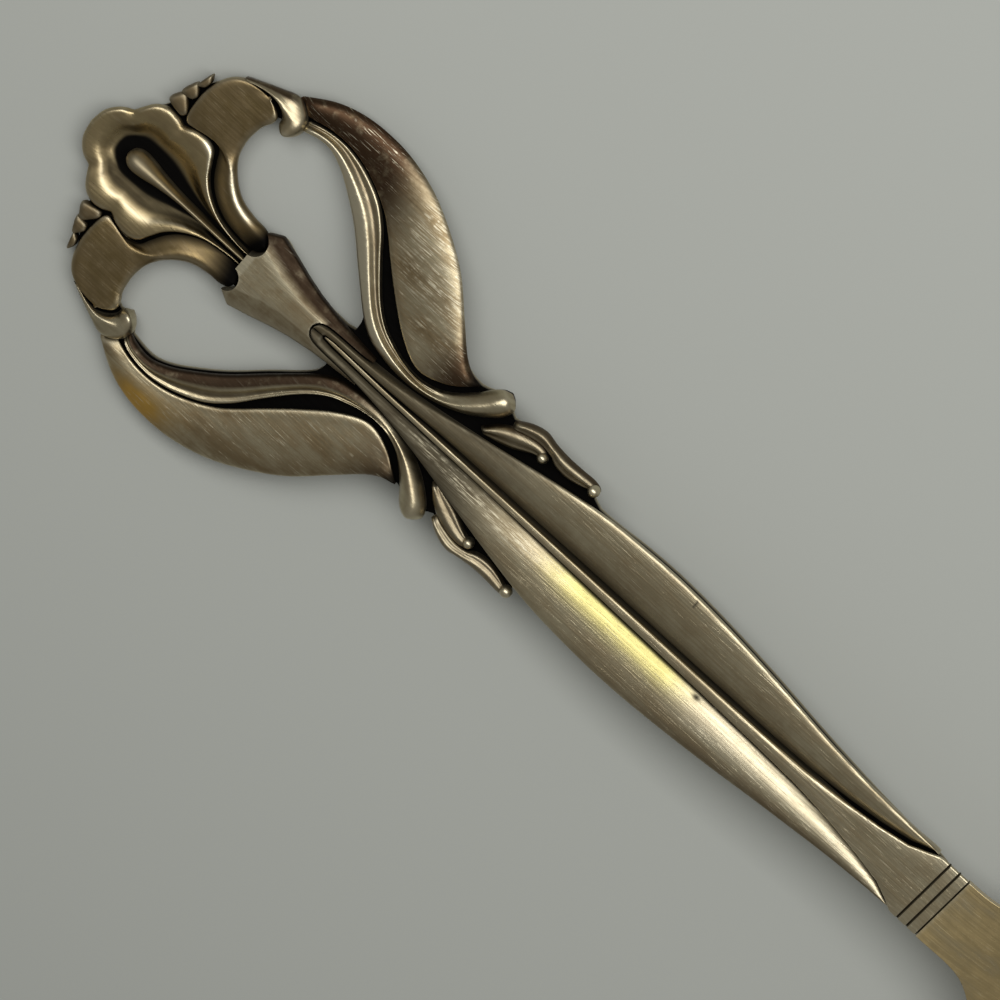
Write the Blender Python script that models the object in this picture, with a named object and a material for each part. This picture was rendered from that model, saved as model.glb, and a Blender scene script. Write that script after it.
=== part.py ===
"""Cold meat fork with a pierced blossom handle, built as the pieces a silversmith solders together.

The long axis is X, from the blossom to the tines, and the fork lies on its back with Z up.
Outlines are drawn in millimetres from the blossom's throat, on the left (+Y) half of the handle.
Heights of handle pieces are measured from the handle's back, which rises toward the neck.
A section lists points across a piece: the share of its width and the height there.
"""

import math

import bmesh
import bpy
from mathutils import Vector
from mathutils.geometry import interpolate_bezier

MM = 0.001

# Lengths along the fork
BLOSSOM_TIP = -3.9
LOBE_END = 130.4
NECK_START = 130.8
NECK_END = 135.0
BOWL_LOW = 180.0
TINE_ROOT = 182.0
TINE_TIP = 224.0
MIDDLE = (BLOSSOM_TIP + TINE_TIP) / 2

# Side profile: flat end under the blossom, straight rise to the neck, dip to the bowl, turned-up tips
FLAT_END = 0.0
RISE_START = 12.0
RISE = 0.083
BOWL_PRESS = 0.3
TIP_RISE = 7.0
BOWL_DISH = 2.0
DISH_LENGTH = 30.0

# Thicknesses and fits
SEAM = 0.3
PLATE = 1.0
PLATE_INSET = 0.7
UNDERCUT = 0.3
SEAT = PLATE + SEAM
EDGE_STEP = 0.35
NECK_TOP = 3.5
TANG_TOP = 2.15
HEAD_THICKNESS = 2.5
THINNING = 16.0
TINE_THICKNESS = 2.1

# Half-round section for scrolls, hooks and buds, as shares of width and height
ROUND = ((0.0, 0.0), (0.12, 0.55), (0.32, 0.92), (0.5, 1.0), (0.68, 0.92), (0.88, 0.55), (1.0, 0.0))

# Blossom, from the tip along the left half: three lobes that meet in notches, then the trumpet
BLOSSOM_RIM = (
    [(-3.9, 0.12), (-3.45, 2.2), (-2.2, 3.8), (-0.7, 4.6)],
    [(-0.7, 4.6), (-0.1, 5.7), (0.9, 7.1), (2.4, 7.85), (4.0, 7.75), (5.1, 7.3)],
    [
        (5.1, 7.3), (6.8, 8.0), (8.5, 8.15), (9.75, 7.6), (10.5, 6.35), (11.5, 4.6), (13.1, 3.05),
        (15.7, 1.65), (19.0, 0.98), (20.6, 0.9),
    ],
)
BLOSSOM_THROAT = (
    [(0.7, 0.12), (0.85, 0.9), (1.5, 1.75)],
    [(1.5, 1.75), (2.7, 2.4), (4.6, 2.55)],
    [(4.6, 2.55), (7.0, 2.3), (10.0, 1.55), (13.5, 0.85), (17.0, 0.62), (20.1, 0.55)],
)
BLOSSOM_STEPS = (5, 7, 13)
BLOSSOM_SECTION = ((1.0, 2.25), (0.9, 2.6), (0.65, 2.45), (0.3, 2.1), (0.0, 1.85))
BLOSSOM_FLOOR = 1.6
FLOOR_SHARE = 0.9

# Spadix: the teardrop's half outline and the arch across it
SPADIX_EDGE = [
    (2.1, 0.1), (2.4, 0.8), (3.2, 1.3), (4.6, 1.35), (7.2, 0.85), (9.5, 0.5), (11.6, 0.33), (19.7, 0.24),
]
SPADIX_ARCH = (
    (-0.8, 0.0), (-1.0, 0.3), (-0.85, 0.65), (-0.5, 0.9), (0.0, 1.0), (0.5, 0.9), (0.85, 0.65), (1.0, 0.3),
    (0.8, 0.0),
)
SPADIX_STEPS = 18
SPADIX_TAIL_TOP = 0.8
SPADIX_SWELL = 0.85
SPADIX_TIP_SHARE = 0.35
SPADIX_TIP_LENGTH = 0.15

# Sepal: the crescent's outer edge follows the blossom and swings out, its inner edge borders the loop
SEPAL_OUTER = [
    (22.1, 2.75), (21.7, 1.7), (20.6, 1.4), (18.0, 1.5), (15.8, 1.98), (13.4, 3.3), (11.9, 4.85),
    (10.9, 6.6), (10.1, 8.0), (8.6, 8.55), (6.8, 8.4), (5.3, 7.75), (4.65, 8.3), (4.35, 10.2), (4.4, 12.6),
    (5.0, 14.75), (6.0, 16.2), (7.4, 17.0), (9.0, 17.3), (10.7, 17.35),
]
SEPAL_INNER = [
    (22.15, 2.95), (21.8, 4.0), (20.7, 4.5), (19.0, 4.6), (16.4, 5.2), (14.2, 6.75), (12.7, 8.8),
    (12.2, 10.8), (12.2, 12.2), (12.5, 13.9), (13.15, 15.2), (13.1, 16.1), (12.2, 16.85), (11.2, 17.25),
]
SEPAL_FOOT_SECTION = ((0.0, 1.9), (0.1, 1.95), (0.4, 2.3), (0.75, 2.85), (0.93, 2.75), (1.0, 2.35))
SEPAL_BLADE_SECTION = ((0.0, 2.3), (0.1, 2.5), (0.4, 2.6), (0.75, 2.75), (0.93, 2.7), (1.0, 2.35))
SEPAL_BLADE = (0.45, 0.7)
SEPAL_STEPS = 22

# Hook that wraps the sepal's tip and ends in a bead
HOOK_OUTER = [
    (7.2, 17.25), (9.2, 18.2), (11.8, 19.3), (13.8, 19.6), (15.4, 18.8), (16.35, 17.6), (16.5, 16.2),
    (15.7, 15.1),
]
HOOK_INNER = [
    (7.6, 17.3), (9.4, 17.7), (11.0, 17.7), (12.5, 17.15), (13.5, 16.3), (13.6, 15.4), (14.1, 14.9),
    (14.9, 14.8),
]
HOOK_TOP = (2.5, 3.7)
HOOK_GROWTH = 0.8
HOOK_NOSE = 0.14
HOOK_STEPS = 14

# Bud sprig of three segments between blossom and sepal
BUD_OUTER = [(1.5, 8.3), (2.0, 10.4), (2.95, 12.6), (3.8, 13.9)]
BUD_INNER = [(4.3, 8.3), (4.0, 10.2), (4.03, 12.4), (4.1, 13.9)]
BUD_SEGMENTS = 3
BUD_LOW = 1.95
BUD_SWELL = (1.0, 0.65)
BUD_ROUNDNESS = 0.6
BUD_LAST = 0.985
BUD_STEPS = 12

# Side leaf: shallow dish with a rolled outer rim
LEAF_OUTER = [
    (14.3, 20.4), (16.5, 22.0), (20.0, 23.4), (24.0, 23.8), (28.0, 23.6), (33.0, 22.1), (38.0, 19.5),
    (43.0, 15.6), (48.0, 10.7), (50.0, 9.1), (52.6, 8.25),
]
LEAF_INNER = [
    (15.9, 19.5), (19.0, 19.85), (22.5, 19.7), (26.0, 18.9), (30.0, 16.7), (34.0, 13.3), (38.0, 8.7),
    (42.0, 5.4), (45.2, 4.2), (49.0, 5.3), (52.5, 8.0),
]
LEAF_SECTION = ((0.0, 1.1), (0.07, 1.45), (0.25, 1.15), (0.55, 0.95), (0.85, 1.2), (1.0, 0.95))
LEAF_LOW = 0.5
LEAF_NOSES = (0.06, 0.05)
LEAF_STEPS = 26

# Stem inside the leaf: face to the loop, flat band, flute and raised rim, then a round bead
STEM_HOLE_EDGE = [
    (17.0, 17.4), (20.1, 17.75), (22.1, 17.1), (24.15, 15.9), (28.2, 12.8), (32.2, 8.9), (36.2, 5.1),
    (38.15, 3.7), (40.0, 2.95), (44.0, 2.4), (48.0, 2.7), (53.0, 4.6), (56.8, 7.35), (57.8, 8.9),
    (56.7, 10.1),
]
STEM_GROOVE_EDGE = [
    (17.0, 18.7), (20.0, 19.0), (22.0, 18.75), (25.1, 17.95), (28.65, 16.4), (32.2, 12.95), (36.2, 8.15),
    (38.15, 6.3), (40.1, 5.2), (44.0, 3.9), (47.0, 3.85), (50.0, 5.0), (53.0, 7.6), (54.4, 9.3),
    (55.6, 10.1),
]
STEM_BAND = ((0.0, 1.65), (0.18, 2.7), (0.32, 2.95), (0.5, 2.85), (0.68, 2.3), (0.9, 2.3), (1.0, 1.9))
STEM_BEAD = ((0.0, 2.1), (0.14, 2.8), (0.3, 3.35), (0.5, 3.7), (0.7, 3.35), (0.88, 2.8), (1.0, 2.1))
STEM_BEAD_RANGE = (0.8, 0.92)
STEM_NOSES = (0.03, 0.07)
STEM_STEPS = 32

# Scrolls beside the shaft
SCROLL_INNER_TOP = [
    (57.9, 6.6), (59.2, 7.2), (61.0, 8.0), (62.8, 8.35), (64.4, 8.0), (64.9, 7.2), (64.4, 6.5),
]
SCROLL_INNER_FOOT = [
    (57.6, 5.6), (59.2, 5.7), (61.0, 6.2), (62.4, 6.8), (63.0, 6.7), (63.5, 6.35), (64.0, 6.3),
]
SCROLL_OUTER_TOP = [
    (58.4, 8.3), (59.5, 9.1), (61.0, 9.55), (64.0, 9.5), (67.0, 9.25), (70.4, 9.5), (72.0, 8.8),
    (71.9, 7.8),
]
SCROLL_OUTER_FOOT = [
    (58.4, 7.6), (60.0, 8.1), (62.0, 8.7), (64.2, 8.6), (66.4, 7.8), (69.2, 7.8), (70.4, 7.8),
    (71.2, 7.5),
]
SCROLL_LOW = 1.8
SCROLL_TOP = (1.2, 1.55)
SCROLL_BEAD_RANGE = (0.72, 0.87)
SCROLL_NOSES = (0.08, 0.12)
SCROLL_INNER_STEPS = 12
SCROLL_OUTER_STEPS = 16

# Calyx sheath: place, half width and half width of the flat facet along its top
CALYX_STATIONS = (
    (21.05, 4.5, 3.4), (23.0, 5.6, 3.0), (26.0, 4.75, 1.95), (28.5, 3.95, 1.5), (31.0, 3.3, 1.3),
    (34.4, 2.7, 1.2), (37.0, 2.4, 1.2), (41.0, 2.05, 1.4),
)
CALYX_TOP = 3.6
CALYX_EDGE = 3.0
CALYX_WALL = 2.6
CALYX_ROUNDING = 0.15
SEPAL_FOOT = (20.75, 2.9)
SEPAL_FOOT_RADIUS = 1.75
SEPAL_FOOT_CORNERS = 16
CUTTER_HEIGHT = 9.0

# Shaft: the lobes' outer edge and sections, and the half width of the spine between them
TONGUE_TIP = 32.8
SPINE_TIP = 34.6
TONGUE_SLOT = [(TONGUE_TIP - SEAM, 0.2), (32.9, 1.0), (34.2, 1.5), (40.0, 1.72), (44.0, 2.15)]
LOBE_OUTER = [
    (TONGUE_TIP, 0.25), (33.2, 0.85), (34.4, 1.2), (40.0, 1.4), (46.0, 2.0), (52.0, 3.1), (60.0, 4.9),
    (68.0, 6.6), (74.0, 7.6), (80.0, 8.05), (86.0, 8.2), (93.0, 7.9), (102.0, 7.1), (111.0, 6.05),
    (120.0, 5.2), (126.0, 4.85), (LOBE_END, 4.72),
]
LOBE_TONGUE_SECTION = ((0.0, 3.35), (0.06, 3.78), (0.2, 3.9), (0.5, 3.82), (0.75, 3.65), (1.0, 3.25))
LOBE_PILLOW_SECTION = ((0.0, 3.0), (0.06, 3.43), (0.2, 3.55), (0.5, 3.47), (0.75, 3.1), (1.0, 2.35))
LOBE_NECK_SECTION = ((0.0, 2.25), (0.06, 2.68), (0.2, 2.8), (0.5, 2.72), (0.75, 2.55), (1.0, 2.15))
LOBE_TONGUE_RANGE = (0.1, 0.25)
LOBE_NECK_RANGE = (0.8, 1.0)
LOBE_LEAST_WIDTH = 0.08
LOBE_STEPS = 26
SPINE_EDGE = [
    (SPINE_TIP, 0.1), (36.0, 0.25), (48.0, 0.32), (60.0, 0.38), (80.0, 0.57), (95.0, 0.7), (105.0, 0.85),
    (112.0, 1.08), (118.0, 1.6), (123.0, 2.25), (127.0, 3.05), (129.2, 3.9), (LOBE_END, 4.4),
    (NECK_START, 4.6), (NECK_END, 4.65),
]
SPINE_PLACES = (36, 42, 48, 54, 60, 66, 72, 78, 84, 90, 96, 102, 108, 112, 116, 120, 123)
NECK_PLACES = (127, 128.5, 129.6, LOBE_END, NECK_START)
SPINE_TIP_TOP = 3.9
SPINE_TOP = 3.6
SPINE_SETTLE = 12.0
SPINE_FLARE = (108.0, 124.0)
SPINE_ROUNDING = 0.06
SPINE_EDGE_DROP = (0.25, 0.15)
SPINE_SHOULDER = (0.7, 0.9)
LINE_PLACES = (131.9, 133.5)
LINE_WIDTH = 0.35
LINE_DEPTH = 0.3

# Pierced back plate: the ornaments' outer edge along the left half and the edge of the left loop
PLATE_OUTER = (
    [(-3.9, 0.0), (-3.45, 2.2), (-2.2, 3.8), (-0.7, 4.6)],
    [(-0.7, 4.6), (0.0, 6.0), (1.4, 8.1), (2.1, 10.6), (3.9, 13.8)],
    [(3.9, 13.8), (5.4, 15.6), (7.4, 17.3), (11.0, 18.9), (14.0, 20.0)],
    [
        (14.0, 20.0), (16.5, 22.0), (20.0, 23.4), (24.0, 23.8), (28.0, 23.6), (33.0, 22.1), (38.0, 19.5),
        (43.0, 15.6), (48.0, 10.8), (50.0, 9.4), (52.5, 8.9), (55.0, 10.0),
    ],
    [
        (55.0, 10.0), (56.6, 10.1), (57.7, 9.1), (58.4, 8.6), (59.5, 9.1), (61.0, 9.55), (67.0, 9.3),
        (70.4, 9.5), (71.6, 8.8),
    ],
    [
        (71.6, 8.8), (72.4, 7.7), (75.0, 7.55), (80.0, 8.0), (86.0, 8.2), (93.0, 7.9), (102.0, 7.1),
        (111.0, 6.05), (120.0, 5.2), (127.0, 4.8), (NECK_END, 4.7),
    ],
)
PLATE_OUTER_STEPS = (4, 7, 6, 20, 12, 14)
LOOP_EDGE = (
    [(21.9, 4.4), (23.1, 5.6), (26.0, 4.8), (29.0, 3.85), (32.0, 3.1), (36.2, 2.9)],
    [
        (36.2, 2.9), (35.65, 4.5), (31.65, 8.35), (27.7, 12.2), (23.7, 15.3), (21.8, 16.45), (20.0, 17.0),
        (17.0, 16.7),
    ],
    [
        (17.0, 16.7), (16.5, 15.7), (15.0, 14.8), (13.6, 15.2), (13.0, 14.8), (12.5, 13.6), (12.2, 12.0),
        (12.2, 10.8), (12.7, 8.8), (14.2, 6.75), (16.4, 5.2), (19.0, 4.6), (21.9, 4.4),
    ],
)
LOOP_STEPS = (6, 9, 14)
PLATE_CUTS = (0.0, 3.0, 6.0, 9.0, 12.0)
CUT_SNAP = 0.02

# Fork head: half outline up to the tine roots, tines and the tang under the neck
HEAD_START = NECK_END + SEAM
HEAD_EDGE = [
    (HEAD_START, 4.7), (138.0, 4.75), (140.0, 4.95), (142.0, 5.45), (144.0, 6.65), (147.0, 9.4),
    (151.0, 13.0), (156.0, 15.8), (163.0, 17.4), (171.0, 17.8), (TINE_ROOT, 17.8),
]
HEAD_HALF_WIDTH = 17.8
HEAD_ROWS = 14
HEAD_ROW_GROWTH = 1.2
HEAD_EDGE_STEPS = 60
TINES = 4
TINE_WIDTH = 5.4
TINE_COLUMNS = 4
TINE_SHARES = (0.15, 0.32, 0.5, 0.66, 0.8, 0.9, 0.96, 1.0)
TINE_TAPER = 0.3
TINE_POINT = (0.6, 0.86)
TINE_CLOSING = 0.03
CROTCH_TURNS = (0.25, 0.5, 0.75)
TANG_START = 125.0
TANG_HALF_WIDTH = 2.0
TANG_GRIP = 1.0
FOOT_STEP = 0.05

# Finishes: colour and roughness
BRIGHT = ((0.60, 0.53, 0.38), 0.30)
SATIN = ((0.48, 0.43, 0.34), 0.36)
WORN = ((0.55, 0.49, 0.36), 0.33)
BLACKENED = ((0.08, 0.07, 0.06), 0.55)
SHARP_ANGLE = 40.0


def clear_scene():
    """Start from an empty scene."""
    for item in list(bpy.data.objects):
        bpy.data.objects.remove(item, do_unlink=True)


def silver(name, colour, roughness):
    """Tarnished silver with its own colour and polish."""
    material = bpy.data.materials.new(name)
    material.use_nodes = True
    shader = material.node_tree.nodes["Principled BSDF"]
    shader.inputs["Base Color"].default_value = (*colour, 1.0)
    shader.inputs["Roughness"].default_value = roughness
    shader.inputs["Metallic"].default_value = 1.0
    return material


def smooth_curve(points, steps):
    """Points spaced evenly along a smooth curve that passes through the given points."""
    knots = [Vector((x, y, 0.0)) for x, y in points]
    path = [knots[0]]
    for index in range(len(knots) - 1):
        start, end = knots[index], knots[index + 1]
        before = knots[index - 1] if index > 0 else start
        after = knots[index + 2] if index + 2 < len(knots) else end
        reach = (end - start).length / 3
        leave = (end - before).normalized() * reach
        arrive = (after - start).normalized() * reach
        path.extend(interpolate_bezier(start, start + leave, end - arrive, end, 13)[1:])
    lengths = [0.0]
    for here, there in zip(path, path[1:]):
        lengths.append(lengths[-1] + (there - here).length)
    spaced = []
    index = 0
    for step in range(steps + 1):
        target = lengths[-1] * step / steps
        while index < len(path) - 2 and lengths[index + 1] < target:
            index += 1
        span = lengths[index + 1] - lengths[index]
        spaced.append(path[index].lerp(path[index + 1], (target - lengths[index]) / span))
    return [(point.x, point.y) for point in spaced]


def joined_curves(segments, steps):
    """Smooth curves laid end to end, with a corner where two of them meet."""
    points = [segments[0][0]]
    for segment, count in zip(segments, steps):
        points.extend(smooth_curve(segment, count)[1:])
    return points


def width_at(edge, x):
    """Half width of an outline at a place along the fork."""
    for here, there in zip(edge, edge[1:]):
        if here[0] <= x <= there[0]:
            return here[1] + (there[1] - here[1]) * (x - here[0]) / (there[0] - here[0])
    return edge[0][1] if x < edge[0][0] else edge[-1][1]


def ease(share):
    """Rise from 0 to 1 that is level at both ends."""
    share = min(max(share, 0.0), 1.0)
    return (1 - math.cos(math.pi * share)) / 2


def ease_between(value, limits):
    """Eased share of the way from one limit to the other."""
    return ease((value - limits[0]) / (limits[1] - limits[0]))


def nose(t, start, end):
    """Share of full height near a piece's two rounded ends."""
    share = 1.0
    if t < start:
        share = math.sqrt(max(1 - (1 - t / start) ** 2, 0.0))
    if t > 1 - end:
        share = min(share, math.sqrt(max(1 - ((t - 1 + end) / end) ** 2, 0.0)))
    return share


def blend(section, other, share):
    """Section part of the way from one to another."""
    return [
        (a + (c - a) * share, b + (d - b) * share) for (a, b), (c, d) in zip(section, other)
    ]


def handle_back(x):
    """Height of the handle's back above the table."""
    if x <= FLAT_END:
        return 0.0
    if x < RISE_START:
        return RISE * (x - FLAT_END) ** 2 / (2 * (RISE_START - FLAT_END))
    return RISE * (x - (FLAT_END + RISE_START) / 2)


def head_height(x, y):
    """Height of the head's back before it is pressed flat: crest, dip to the bowl, turned-up tips."""
    length = BOWL_LOW - HEAD_START
    if x < BOWL_LOW:
        s = (x - HEAD_START) / length
        fall = 2 * s**3 - 3 * s**2 + 1
        run_out = RISE * length * (s**3 - 2 * s**2 + s)
        height = handle_back(HEAD_START) * fall + run_out - BOWL_PRESS * (1 - fall)
    else:
        height = TIP_RISE * ((x - BOWL_LOW) / (TINE_TIP - BOWL_LOW)) ** 2 - BOWL_PRESS
    return height + BOWL_DISH * ease((x - HEAD_START) / DISH_LENGTH) * (y / HEAD_HALF_WIDTH) ** 2


def head_back(x, y):
    """Height of the head's back, flat where the bowl rests on the table."""
    return max(head_height(x, y), 0.0)


def head_top(x, y):
    """Height of the head's upper face."""
    thick = NECK_TOP + (HEAD_THICKNESS - NECK_TOP) * ease((x - HEAD_START) / THINNING)
    thick += (TINE_THICKNESS - HEAD_THICKNESS) * ease_between(x, (TINE_ROOT, TINE_TIP))
    return head_height(x, y) + thick


def add_piece(name, points, faces, finish, root):
    """One closed, outward-facing solid as an object that hangs from the fork's root."""
    mesh = bpy.data.meshes.new(name)
    body = bmesh.new()
    corners = [body.verts.new((x * MM, y * MM, z * MM)) for x, y, z in points]
    for face in faces:
        body.faces.new([corners[index] for index in face])
    bmesh.ops.recalc_face_normals(body, faces=body.faces)
    body.to_mesh(mesh)
    body.free()
    mesh.shade_smooth()
    mesh.set_sharp_from_angle(angle=math.radians(SHARP_ANGLE))
    piece = bpy.data.objects.new(name, mesh)
    mesh.materials.append(silver(name + "_silver", *finish))
    piece.parent = root
    bpy.context.scene.collection.objects.link(piece)
    return piece


def ring_loft(name, rings, finish, root):
    """Solid through a row of equal rings, whose ends are filled across from side to side."""
    size = len(rings[0])
    points = [point for ring in rings for point in ring]
    faces = []
    for row in range(len(rings) - 1):
        here = row * size
        there = here + size
        for index in range(size):
            after = (index + 1) % size
            faces.append((here + index, here + after, there + after, there + index))
    for base in (0, (len(rings) - 1) * size):
        for index in range(size // 2):
            corners = list(dict.fromkeys((index, index + 1, size - 2 - index, size - 1 - index)))
            if len(corners) > 2:
                faces.append([base + corner for corner in corners])
    return add_piece(name, points, faces, finish, root)


def inward(point, toward, distance):
    """A point moved toward another, by a fifth of the way at most."""
    start = Vector(point)
    step = Vector(toward) - start
    moved = start + step.normalized() * min(distance, step.length / 5)
    return moved.x, moved.y


def relief_rings(edge_a, edge_b, section, side):
    """Rings between two edges: a modelled top, walls that draw in a little and a flat seat."""
    rings = []
    for row, (a, b) in enumerate(zip(edge_a, edge_b)):
        foot_a = inward(a, b, UNDERCUT)
        foot_b = inward(b, a, UNDERCUT)
        ring = [(foot_a[0], foot_a[1] * side, handle_back(foot_a[0]) + SEAT)]
        for across, height in section(row / (len(edge_a) - 1)):
            x = a[0] + (b[0] - a[0]) * across
            y = a[1] + (b[1] - a[1]) * across
            ring.append((x, y * side, handle_back(x) + height))
        ring.append((foot_b[0], foot_b[1] * side, handle_back(foot_b[0]) + SEAT))
        rings.append(ring)
    return rings


def add_relief(name, edges, steps, section, finish, root, side):
    """Ornament between two smooth edges."""
    curves = [smooth_curve(edge, steps) for edge in edges]
    return ring_loft(name, relief_rings(*curves, section, side), finish, root)


def round_section(top, end):
    """Half-round section that sinks to its edges at a rounded end."""
    foot = SEAT + EDGE_STEP
    return [(across, foot + (top - foot) * share * max(end, 0.15)) for across, share in ROUND]


def sepal_section(t):
    """Low beside the blossom with a round edge at the loop, then a flat blade at the tip."""
    return blend(SEPAL_FOOT_SECTION, SEPAL_BLADE_SECTION, ease_between(t, SEPAL_BLADE))


def hook_section(t):
    """Thin at the start, round and tall over the bead."""
    top = HOOK_TOP[0] + (HOOK_TOP[1] - HOOK_TOP[0]) * ease(t / HOOK_GROWTH)
    return round_section(top, nose(t, 0.0, HOOK_NOSE))


def bud_section(t):
    """Three swelling segments."""
    swell = abs(math.sin(math.pi * BUD_SEGMENTS * min(t, BUD_LAST))) ** BUD_ROUNDNESS
    return round_section(BUD_LOW + (BUD_SWELL[0] + (BUD_SWELL[1] - BUD_SWELL[0]) * t) * swell, 1.0)


def leaf_section(t):
    """Shallow dish between a rolled outer rim and a plain inner edge."""
    end = nose(t, *LEAF_NOSES)
    return [
        (across, SEAT + LEAF_LOW * (1 - end) + height * end) for across, height in LEAF_SECTION
    ]


def stem_section(t):
    """Ridged band that turns into a round bead at the curled end."""
    end = nose(t, *STEM_NOSES)
    low = SEAT + EDGE_STEP
    section = blend(STEM_BAND, STEM_BEAD, ease_between(t, STEM_BEAD_RANGE))
    return [(across, low + (height - low) * end) for across, height in section]


def scroll_section(t):
    """Half-round scroll that ends in a small bead."""
    rise = SCROLL_TOP[0] + (SCROLL_TOP[1] - SCROLL_TOP[0]) * ease_between(t, SCROLL_BEAD_RANGE)
    return round_section(SCROLL_LOW + rise * nose(t, *SCROLL_NOSES), 1.0)


def lobe_section(t):
    """Pillow that falls to the spine's seam and rounds over at the outer rim."""
    section = blend(LOBE_TONGUE_SECTION, LOBE_PILLOW_SECTION, ease_between(t, LOBE_TONGUE_RANGE))
    return blend(section, LOBE_NECK_SECTION, ease_between(t, LOBE_NECK_RANGE))


def inset_outline(outline, distance):
    """Closed outline, drawn anticlockwise, moved inward by a distance."""
    points = [Vector(point) for point in outline]
    moved = []
    for index, point in enumerate(points):
        along = (points[(index + 1) % len(points)] - points[index - 1]).normalized()
        moved.append((point.x - along.y * distance, point.y + along.x * distance))
    return moved


def add_back_plate(root):
    """Pierced ground plate under the whole handle, cut across where the handle's back bends."""
    body = bmesh.new()
    half = joined_curves(PLATE_OUTER, PLATE_OUTER_STEPS)
    outer = [(x, -y) for x, y in half] + [(x, y) for x, y in reversed(half[1:])]
    loop = inset_outline(joined_curves(LOOP_EDGE, LOOP_STEPS)[:-1], -PLATE_INSET)
    for outline in (inset_outline(outer, PLATE_INSET), loop, [(x, -y) for x, y in loop]):
        corners = [body.verts.new((x * MM, y * MM, 0.0)) for x, y in outline]
        for here, there in zip(corners, corners[1:] + corners[:1]):
            body.edges.new((here, there))
    bmesh.ops.triangle_fill(body, edges=body.edges[:], use_beauty=True, use_dissolve=False)
    for place in PLATE_CUTS:
        bmesh.ops.bisect_plane(
            body,
            geom=body.verts[:] + body.edges[:] + body.faces[:],
            plane_co=(place * MM, 0, 0),
            plane_no=(1, 0, 0),
            dist=CUT_SNAP * MM,
        )
    raised = bmesh.ops.extrude_face_region(body, geom=body.faces[:])
    tops = {item for item in raised["geom"] if isinstance(item, bmesh.types.BMVert)}
    for vertex in body.verts:
        vertex.co.z = handle_back(vertex.co.x / MM) * MM + (PLATE * MM if vertex in tops else 0.0)
    bmesh.ops.triangulate(body, faces=body.faces[:])
    body.verts.index_update()
    points = [tuple(vertex.co / MM) for vertex in body.verts]
    faces = [[vertex.index for vertex in face.verts] for face in body.faces]
    body.free()
    return add_piece("back_plate", points, faces, BLACKENED, root)


def add_blossom(root):
    """Trumpet flower: a lobed rim that dishes down to the throat around the spadix."""
    rim = joined_curves(BLOSSOM_RIM, BLOSSOM_STEPS)
    throat = joined_curves(BLOSSOM_THROAT, BLOSSOM_STEPS)
    rings = []
    for outer, inner in zip(rim, throat):
        left = [(*inward(outer, inner, UNDERCUT), SEAT)]
        for share, height in BLOSSOM_SECTION:
            x = inner[0] + (outer[0] - inner[0]) * share
            y = inner[1] + (outer[1] - inner[1]) * share
            left.append((x, y, height))
        left.append((inner[0], inner[1] * FLOOR_SHARE, BLOSSOM_FLOOR))
        raised = [(x, y, z + handle_back(x)) for x, y, z in left]
        rings.append(raised + [(x, -y, z) for x, y, z in reversed(raised)])
    return ring_loft("blossom", rings, BRIGHT, root)


def add_spadix(root):
    """Teardrop that stands up in the flower's throat, with a long thin tail."""
    rings = []
    for row, (x, half) in enumerate(smooth_curve(SPADIX_EDGE, SPADIX_STEPS)):
        lift = handle_back(x) + BLOSSOM_FLOOR + SEAM
        tip = nose(row / SPADIX_STEPS, SPADIX_TIP_LENGTH, 0.0)
        tall = SPADIX_TAIL_TOP + SPADIX_SWELL * half
        tall *= SPADIX_TIP_SHARE + (1 - SPADIX_TIP_SHARE) * tip
        rings.append([(x, half * across, lift + tall * up) for across, up in SPADIX_ARCH])
    return ring_loft("spadix", rings, BRIGHT, root)


def add_shaft_lobe(name, side, root):
    """Long lobe on one side of the spine, from the tongue tip to its point at the neck."""
    outer = []
    inner = []
    for x, y in smooth_curve(LOBE_OUTER, LOBE_STEPS):
        seam = width_at(SPINE_EDGE, x) + SEAM if x > SPINE_TIP - SEAM else SEAM / 2
        inner.append((x, seam))
        outer.append((x, max(y, seam + LOBE_LEAST_WIDTH)))
    return ring_loft(name, relief_rings(outer, inner, lobe_section, side), SATIN, root)


def spine_ring(x, dip):
    """Section of the rib, let in above the fork head's tang where that runs below it."""
    half = width_at(SPINE_EDGE, x)
    flare = ease_between(x, SPINE_FLARE)
    top = SPINE_TIP_TOP + (SPINE_TOP - SPINE_TIP_TOP) * ease((x - SPINE_TIP) / SPINE_SETTLE)
    top += (NECK_TOP - SPINE_TOP) * flare - dip
    edge = top - SPINE_EDGE_DROP[0] - (SPINE_EDGE_DROP[1] - SPINE_EDGE_DROP[0]) * flare
    shoulder = SPINE_SHOULDER[0] + (SPINE_SHOULDER[1] - SPINE_SHOULDER[0]) * flare
    foot = TANG_TOP + SEAM if x > TANG_START - SEAM else SEAT
    rounded = top - SPINE_ROUNDING
    right = [(-1.0, foot), (-1.0, edge), (-shoulder, rounded)]
    section = right + [(0.0, top)] + [(-across, height) for across, height in reversed(right)]
    return [(x, half * across, handle_back(x) + height) for across, height in section]


def add_spine(root):
    """Thin rib between the lobes that flares into the flat neck with its engraved lines."""
    places = [SPINE_TIP, *SPINE_PLACES]
    places += [TANG_START - SEAM - FOOT_STEP, TANG_START - SEAM + FOOT_STEP, *NECK_PLACES]
    rings = [spine_ring(x, 0.0) for x in places]
    for line in LINE_PLACES:
        rings.append(spine_ring(line - LINE_WIDTH / 2, 0.0))
        rings.append(spine_ring(line, LINE_DEPTH))
        rings.append(spine_ring(line + LINE_WIDTH / 2, 0.0))
    rings.append(spine_ring(NECK_END, 0.0))
    return ring_loft("spine", rings, WORN, root)


def add_tool_body(name, points, faces, root):
    """Closed body that only cuts or joins and is not a piece of its own."""
    tool = add_piece(name, points, faces, BLACKENED, root)
    tool.hide_render = True
    tool.display_type = "WIRE"
    return tool


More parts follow.
